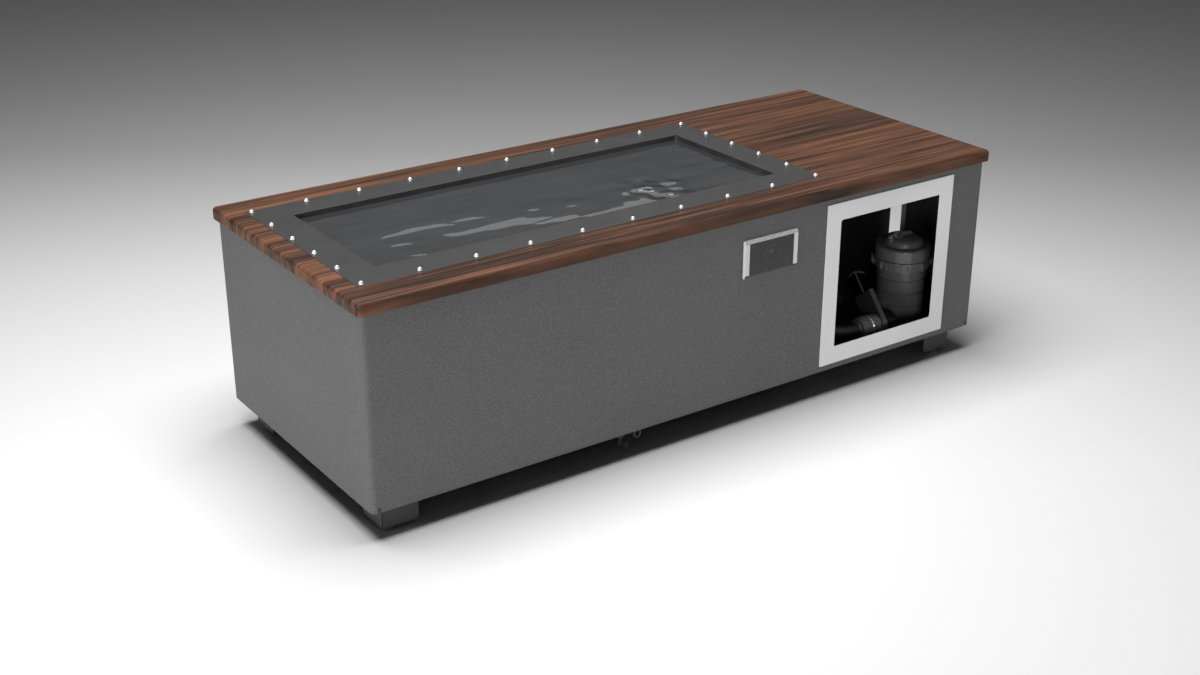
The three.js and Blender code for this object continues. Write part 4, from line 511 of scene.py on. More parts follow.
class Finishes:
    """Every material of the object, by slot, and the few that no slot has."""

    # Nodes deep in the bay and under the tub: they take the near-black finish instead of their slot's, as painted
    # shade.
    painted_shade_nodes: tuple[str, ...] = ("pump_volute", "heat_exchanger", "panel_back_box", "drain_pipe")

    def __init__(self) -> None:
        """Builds the patterns and the materials."""
        self.patterns = Patterns()
        makers = {
            Slot.WALNUT: WoodFinish(),
            Slot.POWDER_COAT: CoatFinish(grey(78), grey(102), 330.0, 0.62, 0.8),
            Slot.GLOSS_RIM: GlossFinish(grey(50), (0.32, 0.36), 0.6),
            Slot.BASIN: PlasticFinish(grey(40), grey(50), (0.35, 0.5), 300.0, 0.1),
            Slot.FOAM: PlasticFinish(grey(30), grey(40), (0.85, 0.95), 120.0, 1.0),
            Slot.WHITE_FRAME: CoatFinish(grey(224), grey(234), 700.0, 0.5, 0.12),
            Slot.SILVER: CoatFinish(grey(206), grey(218), 900.0, 0.38, 0.04),
            Slot.DARK_GLASS: GlossFinish(grey(38), (0.06, 0.1)),
            Slot.LEG_PAINT: CoatFinish(grey(46), grey(60), 420.0, 0.55, 0.3),
            Slot.RUBBER: PlasticFinish(grey(20), grey(32), (0.55, 0.7), 600.0, 0.3),
            Slot.FRAME_STEEL: CoatFinish(grey(42), grey(56), 420.0, 0.5, 0.25),
            # Near-black: partly the board's own black, partly painted shade inside the bay.
            Slot.BOARD: CoatFinish(grey(10), grey(15), 240.0, 0.75, 0.4),
            Slot.FILTER_PLASTIC: PlasticFinish(grey(114), grey(122), (0.2, 0.28), 900.0, 0.03),
            Slot.FILTER_MEDIA: PlasticFinish(grey(208), grey(236), (0.85, 0.95), 260.0, 0.6),
            Slot.PVC: PlasticFinish(grey(54), grey(70), (0.38, 0.5), 700.0, 0.12),
            Slot.STAINLESS: MetalFinish(grey(96), (0.3, 0.42)),
            # Near-black: partly the chiller's dark paint, partly painted shade inside the bay.
            Slot.CHILLER_PAINT: CoatFinish(grey(8), grey(13), 420.0, 0.6, 0.2),
            Slot.COIL_METAL: MetalFinish(grey(170), (0.35, 0.5)),
            # Near-black: partly the motor's dark paint, partly painted shade inside the bay.
            Slot.MOTOR_PAINT: PlasticFinish(grey(8), grey(13), (0.4, 0.55), 300.0, 0.25, 0.12),
        }
        self.by_slot = {slot: maker.make(slot.value, self.patterns) for slot, maker in makers.items()}
        self.chrome = MetalFinish(grey(240), (0.1, 0.2), 0.6).make("dome_chrome", self.patterns)
        self.union_plastic = PlasticFinish(grey(92), grey(112), (0.5, 0.64), 700.0, 0.25, 0.3).make(
            "union_plastic", self.patterns)
        # Near-black plastic: partly the black PVC of the bay's pipes, partly painted shade for parts deep in the bay
        # and under the tub.
        self.black_pvc_and_painted_shade = PlasticFinish(grey(8), grey(14), (0.45, 0.6), 700.0, 0.12, 0.12).make(
            "black_pvc_and_painted_shade", self.patterns)
        self.water = WaterFinish().make("water", self.patterns)
        self.marks = MarkFinish().make("panel_marks", self.patterns)

    def dress_nodes(self) -> None:
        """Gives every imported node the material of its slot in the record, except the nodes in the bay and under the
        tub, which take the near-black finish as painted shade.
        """
        for row in frame["record"]["subparts"]:
            material = self.by_slot[Slot(row["material_slot"])]
            # Painted shade: nodes in the bay and under the tub take the near-black finish.
            if row["node"] in self.painted_shade_nodes:
                material = self.black_pvc_and_painted_shade
            slots = frame["nodes"][row["node"]].data.materials
            slots.clear()
            slots.append(material)


class Shape:
    """A mesh in the making: bmesh operators from a few points to a closed form."""

    def __init__(self) -> None:
        """Starts an empty mesh."""
        self.mesh = bmesh.new()

    @staticmethod
    def eased(points: Profile, ease: float, steps: int = 3) -> Profile:
        """Rounds the corners of a profile.

        Args:
            points: The profile's corners.
            ease: How far from a corner its rounding starts.
            steps: Straight pieces in each rounding.

        Returns:
            The profile with more points.
        """
        rounded = [points[0]]
        for before, corner, after in zip(points, points[1:], points[2:]):
            here = Vector(corner)
            ends = []
            for other in (Vector(before), Vector(after)):
                arm = other - here
                ends.append(here + arm * min(ease / max(arm.length, 1e-9), 0.48))
            for index in range(steps + 1):
                share = index / steps
                spot = ends[0] * (1 - share) ** 2 + here * 2 * share * (1 - share) + ends[1] * share ** 2
                rounded.append((spot.x, spot.y))
        return [*rounded, points[-1]]

    @classmethod
    def turned(cls, profile: Profile, axis: Axis, place: Point, steps: int = ROUND_STEPS) -> "Shape":
        """Spins a profile of radius and height round an axis.

        Args:
            profile: Points from axis to axis, or a closed ring of points.
            axis: Where the profile's height runs.
            place: Where the profile's origin goes.
            steps: Sides of the turned form.

        Returns:
            The closed form.
        """
        shape = cls()
        verts = [shape.mesh.verts.new((radius, 0, height)) for radius, height in profile]
        edges = [shape.mesh.edges.new(pair) for pair in zip(verts, verts[1:])]
        bmesh.ops.spin(
            shape.mesh, geom=verts + edges, cent=(0, 0, 0), axis=(0, 0, 1), dvec=(0, 0, 0),
            angle=2 * math.pi, steps=steps, use_merge=True, use_duplicate=False)
        shape.tidy()
        shape.mesh.transform(Matrix.Translation(place) @ axis.value)
        return shape

    @classmethod
    def lofted(cls, loops: list[list[Point]], closed: bool) -> "Shape":
        """Bridges a row of loops that have equal numbers of points.

        Args:
            loops: Rings of points.
            closed: Whether the last ring joins the first; otherwise the ends are filled.

        Returns:
            The closed form.
        """
        shape = cls()
        verts = [shape.mesh.verts.new(point) for point in loops[0]]
        edges = [shape.mesh.edges.new(pair) for pair in zip(verts, verts[1:] + verts[:1])]
        order = {vert: index for index, vert in enumerate(verts)}
        for loop in loops[1:] + (loops[:1] if closed else []):
            edges, order = shape.step(edges, order)
            for vert, index in order.items():
                vert.co = loop[index]
        shape.tidy()
        if not closed:
            bmesh.ops.holes_fill(shape.mesh, edges=shape.mesh.edges, sides=0)
            shape.tidy()
        return shape

    def step(
        self, edges: list[bmesh.types.BMEdge], order: dict[bmesh.types.BMVert, int],
    ) -> tuple[list[bmesh.types.BMEdge], dict[bmesh.types.BMVert, int]]:
        """Extrudes a ring on the spot.

        Args:
            edges: The ring's edges.
            order: The ring's points and their numbers.

        Returns:
            The new ring's edges, and its points with the numbers of those they grew from.
        """
        drawn = bmesh.ops.extrude_edge_only(self.mesh, edges=edges)["geom"]
        fresh = {}
        for vert in drawn:
            if not isinstance(vert, bmesh.types.BMVert):
                continue
            near = [edge.other_vert(vert) for edge in vert.link_edges]
            fresh[vert] = next(order[other] for other in near if other in order)
        ring = [
            part for part in drawn
            if isinstance(part, bmesh.types.BMEdge) and all(vert in fresh for vert in part.verts)
        ]
        return ring, fresh

    @classmethod
    def piped(cls, corners: list[Point], bend: float, radius: float, sides: int = PIPE_SIDES) -> "Shape":
        """Draws a round pipe along straight runs with round bends.

        Args:
            corners: The route's ends and corners.
            bend: Radius of its bends, at the middle of the pipe.
            radius: The pipe's outer radius.
            sides: Sides of its section.

        Returns:
            The pipe, closed at both ends.
        """
        shape = cls()
        mesh = shape.mesh
        points = [Vector(corner) for corner in corners]
        heading = (points[1] - points[0]).normalized()
        bmesh.ops.create_circle(mesh, cap_ends=False, radius=radius, segments=sides)
        mesh.transform(Matrix.Translation(points[0]) @ heading.to_track_quat("Z", "Y").to_matrix().to_4x4())
        edges = list(mesh.edges)
        spot = points[0]
        for corner, after in zip(points[1:-1], points[2:]):
            into = (corner - spot).normalized()
            out = (after - corner).normalized()
            angle = into.angle(out)
            trim = bend * math.tan(angle / 2)
            edges = shape.run(edges, corner - into * trim - spot)
            normal = into.cross(out).normalized()
            centre = corner - into * trim + normal.cross(into) * bend
            turned = bmesh.ops.spin(
                mesh, geom=edges, cent=centre, axis=normal, dvec=(0, 0, 0), angle=angle, steps=12,
                use_duplicate=False)
            edges = [part for part in turned["geom_last"] if isinstance(part, bmesh.types.BMEdge)]
            spot = corner + out * trim
        shape.run(edges, points[-1] - spot)
        bmesh.ops.holes_fill(mesh, edges=mesh.edges, sides=0)
        shape.tidy()
        return shape

    def run(self, edges: list[bmesh.types.BMEdge], step: Vector) -> list[bmesh.types.BMEdge]:
        """Extrudes a ring of edges by a step and returns the new ring."""
        verts = {vert for edge in edges for vert in edge.verts}
        ring, fresh = self.step(edges, {vert: 0 for vert in verts})
        bmesh.ops.translate(self.mesh, verts=list(fresh), vec=step)
        return ring

    @classmethod
    def cut_out(cls, outline: Profile, low: float, high: float, ease: float, segments: int = 2) -> "Shape":
        """Extrudes an outline and eases its edges.

        Args:
            outline: Points in the X and Y of the form.
            low: Z of its lower face.
            high: Z of its upper face.
            ease: Radius of the rounding of its two rims.
            segments: Steps in that rounding.

        Returns:
            The closed form.
        """
        shape = cls()
        verts = [shape.mesh.verts.new((x, y, low)) for x, y in outline]
        face = shape.mesh.faces.new(verts)
        drawn = bmesh.ops.extrude_face_region(shape.mesh, geom=[face])["geom"]
        top = [part for part in drawn if isinstance(part, bmesh.types.BMVert)]
        bmesh.ops.translate(shape.mesh, verts=top, vec=(0, 0, high - low))
        shape.tidy()
        if ease:
            rims = [edge for edge in shape.mesh.edges if abs(edge.verts[0].co.z - edge.verts[1].co.z) < 1e-7]
            shape.bevel(rims, ease, segments)
        return shape

    @classmethod
    def softened(cls, node: str, ease: float, segments: int = 2, above: float = 30.0) -> "Shape":
        """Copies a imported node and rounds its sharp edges.

        Args:
            node: The node's name.
            ease: Width of the rounding.
            segments: Steps in the rounding.
            above: Edges sharper than this angle, in degrees, are rounded.

        Returns:
            The softened form.
        """
        shape = cls()
        shape.mesh.from_mesh(frame["nodes"][node].data)
        shape.tidy()
        bmesh.ops.dissolve_limit(
            shape.mesh, angle_limit=math.radians(0.5), verts=shape.mesh.verts, edges=shape.mesh.edges)
        sharp = [
            edge for edge in shape.mesh.edges
            if edge.is_manifold and edge.calc_face_angle(0.0) > math.radians(above)
        ]
        shape.bevel(sharp, ease, segments)
        return shape

    @classmethod
    def slab(cls, low: Point, high: Point, ease: float, segments: int = 2) -> "Shape":
        """Returns a block with eased edges."""
        shape = cls()
        size = Vector(high) - Vector(low)
        middle = (Vector(high) + Vector(low)) / 2
        place = Matrix.Translation(middle) @ Matrix.Diagonal((*size, 1))
        bmesh.ops.create_cube(shape.mesh, size=1.0, matrix=place)
        shape.bevel(list(shape.mesh.edges), ease, segments)
        return shape

    def bevel(self, edges: list[bmesh.types.BMEdge], ease: float, segments: int = 2) -> None:
        """Rounds some edges over."""
        bmesh.ops.bevel(
            self.mesh, geom=edges, offset=ease, offset_type="OFFSET", segments=segments, profile=0.5,
            affect="EDGES", clamp_overlap=True, material=-1)

    def tidy(self) -> None:
        """Merges doubled points and turns the faces outwards."""
        bmesh.ops.remove_doubles(self.mesh, verts=self.mesh.verts, dist=1e-6)
        bmesh.ops.recalc_face_normals(self.mesh, faces=self.mesh.faces)

    def join(self, other: "Shape") -> "Shape":
        """Adds another form to this one and returns this one."""
        copy = bpy.data.meshes.new("joined")
        other.mesh.to_mesh(copy)
        other.mesh.free()
        self.mesh.from_mesh(copy)
        bpy.data.meshes.remove(copy)
        return self

    def moved(self, matrix: Matrix) -> "Shape":
        """Transforms the form and returns it."""
        self.mesh.transform(matrix)
        return self

    def piece(
        self, name: str, material: bpy.types.Material, slot: Slot, body: Body = Body.TUB,
        replaces: tuple[str, ...] = (), smooth_below: float = SMOOTH_BELOW, even: bool = True,
    ) -> bpy.types.Object:
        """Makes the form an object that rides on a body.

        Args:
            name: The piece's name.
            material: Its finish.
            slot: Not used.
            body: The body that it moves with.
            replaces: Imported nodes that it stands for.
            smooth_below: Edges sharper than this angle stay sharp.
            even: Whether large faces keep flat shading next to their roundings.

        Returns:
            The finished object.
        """
        data = bpy.data.meshes.new(name)
        self.mesh.to_mesh(data)
        self.mesh.free()
        data.shade_smooth()
        data.set_sharp_from_angle(angle=smooth_below)
        data.materials.append(material)
        thing = bpy.data.objects.new(name, data)
        bpy.context.scene.collection.objects.link(thing)
        if even:
            thing.modifiers.new("even_normals", "WEIGHTED_NORMAL").keep_sharp = True
        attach(thing, body.value)
        if replaces:
            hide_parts(*replaces)
        log.info("%s rides on %s, %d faces", name, body.value, len(data.polygons))
        return thing


def ring_of(half_x: float, half_y: float, radius: float, height: float, steps: int = 6) -> list[Point]:
    """Returns the points of a rounded rectangle round the origin.

    Args:
        half_x: Half its length.
        half_y: Half its width.
        radius: Radius of its corners.
        height: The Z of all its points.
        steps: Straight pieces in each corner.

    Returns:
        The points, in order.
    """
    points = []
    for quarter, (sx, sy) in enumerate(((1, 1), (-1, 1), (-1, -1), (1, -1))):
        for index in range(steps + 1):
            angle = math.pi / 2 * (quarter + index / steps)
            x = sx * (half_x - radius) + radius * math.cos(angle)
            y = sy * (half_y - radius) + radius * math.sin(angle)
            points.append((x, y, height))
    return points


def shifted(loop: list[Point], x: float) -> list[Point]:
    """Returns a loop moved along X."""
    return [(point[0] + x, point[1], point[2]) for point in loop]


class Reach(Enum):
    """What a lamp lights."""

    ALL = "all"
    OBJECT = "object"
    WATER = "water"


@dataclass(frozen=True)
class Lamp:
    """One soft rectangular lamp: where it hangs, what it faces, its sides in metres and its watts."""

    name: str
    place: Point
    aim: Point
    size: tuple[float, float]
    power: float
    reach: Reach = Reach.ALL
    roll: float = 0.0


@dataclass
class Studio:
    """Camera, lamps, world and floor."""

    camera_place: Point = (-2.9193, -4.0609, 2.3583)
    azimuth: float = math.radians(34.979)
    elevation: float = math.radians(23.631)
    lens: float = 49.87
    lamps: tuple[Lamp, ...] = (
        Lamp("overhead", (-0.8, -0.05, 4.6), (-0.8, -0.3, 0.0), (4.0, 3.2), 286),
        Lamp("left_low", (-6.0, -1.5, 1.9), (-0.9, 0.0, 0.35), (1.8, 1.8), 212, Reach.OBJECT),
        Lamp("front_low", (-2.6, -6.0, 1.7), (0.6, 0.0, 0.3), (1.8, 1.4), 60, Reach.OBJECT),
    Lamp("front_right", (3.7, -4.6, 1.1), (0.9, 0.0, 0.3), (1.4, 1.2), 40, Reach.OBJECT),
        Lamp("back_card", (3.3, 5.5, 3.95), (-0.3, 0.0, 0.7), (2.2, 1.1), 6.6, Reach.WATER, math.radians(4)),
        Lamp("high_card", (3.2, 4.9, 4.9), (-0.3, 0.0, 0.7), (2.4, 0.7), 24, Reach.WATER),
    )
    sky_tones: tuple[tuple[float, float], ...] = ((0.2, 74), (0.33, 136), (0.46, 186), (0.9, 150))
    floor_size: float = 60.0
    floor_span: tuple[float, float] = (-3.0, 9.0)
    # The floor's colour falls from white near the camera to half grey far off: a painted falloff of the lamps' light.
    painted_falloff_tones: tuple[tuple[float, float], ...] = (
        (0.1, 1.0), (0.2, 0.96), (0.3375, 0.8), (0.468, 0.54), (0.558, 0.5), (0.697, 0.5),
    )

    def make_camera(self) -> None:
        """Sets the camera at the photograph's viewing angle."""
        data = bpy.data.cameras.new("camera")
        data.sensor_fit = "HORIZONTAL"
        data.sensor_width = 36.0
        data.lens = self.lens
        data.clip_end = 200.0
        camera = bpy.data.objects.new("camera", data)
        bpy.context.scene.collection.objects.link(camera)
        turn = Matrix.Rotation(-self.azimuth, 4, "Z") @ Matrix.Rotation(math.pi / 2 - self.elevation, 4, "X")
        camera.matrix_world = Matrix.Translation(self.camera_place) @ turn
        bpy.context.scene.camera = camera

    def make_lamp(self, lamp: Lamp, reaches: dict[Reach, bpy.types.Collection]) -> None:
        """Hangs one soft rectangular lamp.

        Args:
            lamp: Its place, size and power.
            reaches: What each kind of lamp that does not light all is linked to.
        """
        data = bpy.data.lights.new(lamp.name, "AREA")
        data.shape = "RECTANGLE"
        data.size, data.size_y = lamp.size
        data.energy = lamp.power
        thing = bpy.data.objects.new(lamp.name, data)
        bpy.context.scene.collection.objects.link(thing)
        toward = (Vector(lamp.aim) - Vector(lamp.place)).to_track_quat("-Z", "Y").to_matrix().to_4x4()
        thing.matrix_world = Matrix.Translation(lamp.place) @ toward @ Matrix.Rotation(lamp.roll, 4, "Z")
        thing.light_linking.receiver_collection = reaches.get(lamp.reach)

    def light(self, water: bpy.types.Object) -> None:
        """Hangs the lamps and sets the world.

        Args:
            water: The body of water, which alone shows the back card.
        """
        reaches = {}
        for reach, thing, state in (
            (Reach.OBJECT, self.floor, "EXCLUDE"), (Reach.WATER, water, "INCLUDE"),
        ):
            linked = bpy.data.collections.new("lit_" + reach.value)
            linked.objects.link(thing)
            linked.collection_objects[0].light_linking.link_state = state
            reaches[reach] = linked
        for lamp in self.lamps:
            self.make_lamp(lamp, reaches)
        world = bpy.data.worlds.new("studio")
        bpy.context.scene.world = world
        world.use_nodes = True
        build = NodeBuilder(world.node_tree)
        sky = world.node_tree.nodes["Background"]
        ray = build.add("LightPath")
        mirror = build.math("MAXIMUM", ray.outputs["Is Glossy Ray"], ray.outputs["Is Transmission Ray"])
        seen = build.math("MAXIMUM", mirror, ray.outputs["Is Camera Ray"])
        height = build.add("SeparateXYZ", Vector=build.add("TexCoord").outputs["Generated"]).outputs["Z"]
        ramp = build.add("ValToRGB", Fac=build.span(height, 0.0, 1.0, (0.0, 1.0)))
        stops = ramp.color_ramp.elements
        for place, level in self.sky_tones[1:-1]:
            stops.new(place).color = (*grey(level), 1)
        for stop, (place, level) in ((stops[0], self.sky_tones[0]), (stops[-1], self.sky_tones[-1])):
            stop.position = place
            stop.color = (*grey(level), 1)
        build.feed(sky.inputs["Color"], build.mix(seen, grey(50), ramp.outputs[0]))
        sky.inputs["Strength"].default_value = 1.0

    def lay_floor(self) -> None:
        """Lays a pale floor whose colour darkens into the distance behind the tub, a painted falloff of light."""
        shape = Shape()
        bmesh.ops.create_grid(shape.mesh, x_segments=8, y_segments=8, size=self.floor_size / 2)
        data = bpy.data.meshes.new("floor")
        shape.mesh.to_mesh(data)
        shape.mesh.free()
        floor = bpy.data.objects.new("floor", data)
        bpy.context.scene.collection.objects.link(floor)
        finish = Finish()
        finish.start("floor")
        build = finish.build
        turned = build.stretch(finish.coordinates, (1, 1, 1), (0, 0, self.azimuth))
        depth = build.add("SeparateXYZ", Vector=turned).outputs["Y"]
        ramp = build.add("ValToRGB", Fac=build.span(depth, *self.floor_span, (0.0, 1.0)))
        stops = ramp.color_ramp.elements
        for place, level in self.painted_falloff_tones[1:-1]:
            stops.new(place).color = (level, level, level, 1)
        for stop, (place, level) in ((stops[0], self.painted_falloff_tones[0]), (stops[-1], self.painted_falloff_tones[-1])):
            stop.position = place
            stop.color = (level, level, level, 1)
        finish.set(Base_Color=ramp.outputs[0], Roughness=0.7, Specular_IOR_Level=0.2)
        data.materials.append(finish.material)
        self.floor = floor


@dataclass
class Deck:
    """The wooden top with its round nose and the rebate for the rim."""

    half_length: float = 1.170
    half_width: float = 0.472
    bottom: float = 0.6853
    top: float = 0.7233
    corner: float = 0.014
    nose: float = 0.011
    arris: float = 0.003
    basin_x: float = -0.293
    rebate: tuple[float, float, float] = (0.8163, 0.3633, 0.7182)
    opening: tuple[float, float] = (0.720, 0.267)

    def build(self, finishes: Finishes) -> None:
        """Lofts the board round its opening."""
        loops = []
        for index in range(3):
            angle = math.pi / 2 * index / 2
            inset = self.arris * (1 - math.sin(angle))
            loops.append(self.outline(inset, self.bottom + self.arris * (1 - math.cos(angle))))
        for index in range(9):
            angle = math.pi / 2 * index / 8
            inset = self.nose * (1 - math.cos(angle))
            loops.append(self.outline(inset, self.top - self.nose * (1 - math.sin(angle))))
        x, y, floor = self.rebate
        for half_x, half_y, height in (
            (x, y, self.top), (x, y, floor), (*self.opening, floor), (*self.opening, self.bottom),
        ):
            loops.append(shifted(ring_of(half_x, half_y, 0.001, height), self.basin_x))
        board = Shape.lofted(loops, closed=True)
        board.piece("deck_board", finishes.by_slot[Slot.WALNUT], Slot.WALNUT, replaces=("wood_deck",))

    def outline(self, inset: float, height: float) -> list[Point]:
        """Returns the board's outline at one height."""
        radius = max(self.corner - inset, 0.002)
        return ring_of(self.half_length - inset, self.half_width - inset, radius, height)


@dataclass
class Rim:
    """The gloss plate round the basin and its dome nuts."""

    centre_x: float = -0.293
    half_length: float = 0.816
    half_width: float = 0.363
    basin_half_length: float = 0.710
    basin_half_width: float = 0.257
    top: float = 0.7248
    sheet: float = 0.003
    ease: float = 0.0006
    sheen_turn: float = math.radians(45)
    nut_margin: float = 0.015
    nut_radius: float = 0.0065
    nut_height: float = 0.0085
    nuts_long: int = 10
    nuts_short: int = 6

    def build(self, finishes: Finishes) -> None:
        """Makes the plate and the nuts."""
        self.make_plate(finishes)
        self.make_nuts(finishes)

    def make_plate(self, finishes: Finishes) -> None:
        """Lofts the plate and gives it a plan map for its stretched gloss."""
        low = self.top - self.sheet
        section = [
            (0.0, low), (0.0, self.top - self.ease), (self.ease, self.top),
        ]
        outer = [self.frame_loop(self.half_length, self.half_width, -inset, z) for inset, z in section]
        inner = [
            self.frame_loop(self.basin_half_length, self.basin_half_width, inset, z)
            for inset, z in reversed(section)
        ]
        plate = Shape.lofted(outer + inner, closed=True)
        layer = plate.mesh.loops.layers.uv.new("plan")
        for face in plate.mesh.faces:
            for corner in face.loops:
                corner[layer].uv = Matrix.Rotation(-self.sheen_turn, 2) @ corner.vert.co.xy
        plate.piece("rim_sheet", finishes.by_slot[Slot.GLOSS_RIM], Slot.GLOSS_RIM, replaces=("rim_plate",))

    def frame_loop(self, half_x: float, half_y: float, grow: float, height: float) -> list[Point]:
        """Returns one loop of the plate's section."""
        return shifted(ring_of(half_x + grow, half_y + grow, 0.001, height, 2), self.centre_x)

    def nut_places(self) -> list[tuple[float, float]]:
        """Returns the centres of the nuts, evenly spaced with one at each corner."""
        half_x = self.half_length - self.nut_margin
        half_y = self.half_width - self.nut_margin
        places = []
        for index in range(self.nuts_long):
            x = self.centre_x - half_x + 2 * half_x * index / (self.nuts_long - 1)
            places += [(x, -half_y), (x, half_y)]
        for index in range(1, self.nuts_short - 1):
            y = -half_y + 2 * half_y * index / (self.nuts_short - 1)
            places += [(self.centre_x - half_x, y), (self.centre_x + half_x, y)]
        return places

    def make_nuts(self, finishes: Finishes) -> None:
        """Turns a dome nut with its washer and sets one at every place."""
        radius, height = self.nut_radius, self.nut_height
        foot = height - radius * 0.92
        profile = [(0.0, -0.0005), (radius * 1.12, -0.0005), (radius * 1.12, 0.0008), (radius, 0.0012), (radius, foot)]
        for index in range(1, 9):
            angle = math.pi / 2 * index / 8
            profile.append((radius * math.cos(angle), foot + (height - foot) * math.sin(angle)))
        profile[-1] = (0.0, height)
        nuts = Shape()
        for x, y in self.nut_places():
            nuts.join(Shape.turned(profile, Axis.UP, (x, y, self.top), 20))
        nuts.piece("dome_nuts", finishes.chrome, Slot.GLOSS_RIM)


@dataclass
class Water:
    """The water in the basin, with ripples and the swell over the jet."""

    centre_x: float = -0.293
    half_length: float = 0.7085
    half_width: float = 0.2555
    level: float = 0.7085
    floor: float = 0.1895
    cells: tuple[int, int] = (330, 120)
    ripple: float = 0.0027
    shimmer: float = 0.0004
    swell_place: tuple[float, float] = (0.04, -0.145)
    swell_reach: float = 0.09
    swell: float = 0.0110

    def build(self, finishes: Finishes) -> None:
        """Makes a closed body of water with a rippled top."""
        shape = Shape()
        mesh = shape.mesh
        place = Matrix.Translation((self.centre_x, 0, self.level))
        size = Matrix.Diagonal((self.half_length, self.half_width, 1, 1))
        bmesh.ops.create_grid(
            mesh, x_segments=self.cells[0], y_segments=self.cells[1], size=1.0, matrix=place @ size)
        for vert in mesh.verts:
            vert.co.z += self.lift(vert.co.x, vert.co.y)
        rim = [edge for edge in mesh.edges if edge.is_boundary]
        drawn = bmesh.ops.extrude_edge_only(mesh, edges=rim)["geom"]
        for part in drawn:
            if isinstance(part, bmesh.types.BMVert):
                part.co.z = self.floor
        bmesh.ops.holes_fill(mesh, edges=mesh.edges, sides=0)
        shape.tidy()
        self.body = shape.piece("water_body", finishes.water, Slot.BASIN, even=False)

    def lift(self, x: float, y: float) -> float:
        """Returns how far the surface stands from its level at a place."""
        long_wave = noise.noise(Vector((x * 3.2 + y * 2.0, y * 9.0, 0.3)))
        cross_wave = noise.noise(Vector((x * 7.0 - y * 3.0, y * 15.0 + x * 2.0, 4.7)))
        short_wave = noise.noise(Vector((x * 15.0, y * 30.0, 9.1)))
        rise = self.ripple * (long_wave + 0.5 * cross_wave + 0.16 * short_wave)
        soft_wave = noise.noise(Vector((x * 12.0 + y * 5.0, y * 26.0 - x * 3.0, 6.4)))
        off = Vector((x, y)) - Vector(self.swell_place)
        fade = math.exp(-((off.length / self.swell_reach) ** 2))
        boil = noise.noise(Vector((x * 18.0, y * 18.0, 2.2)))
        calm = 0.25 + 0.75 * min(max((self.half_width - y) / (2 * self.half_width), 0.0), 1.0) ** 2
        return rise * calm + self.shimmer * soft_wave + self.swell * fade * (0.35 + boil)


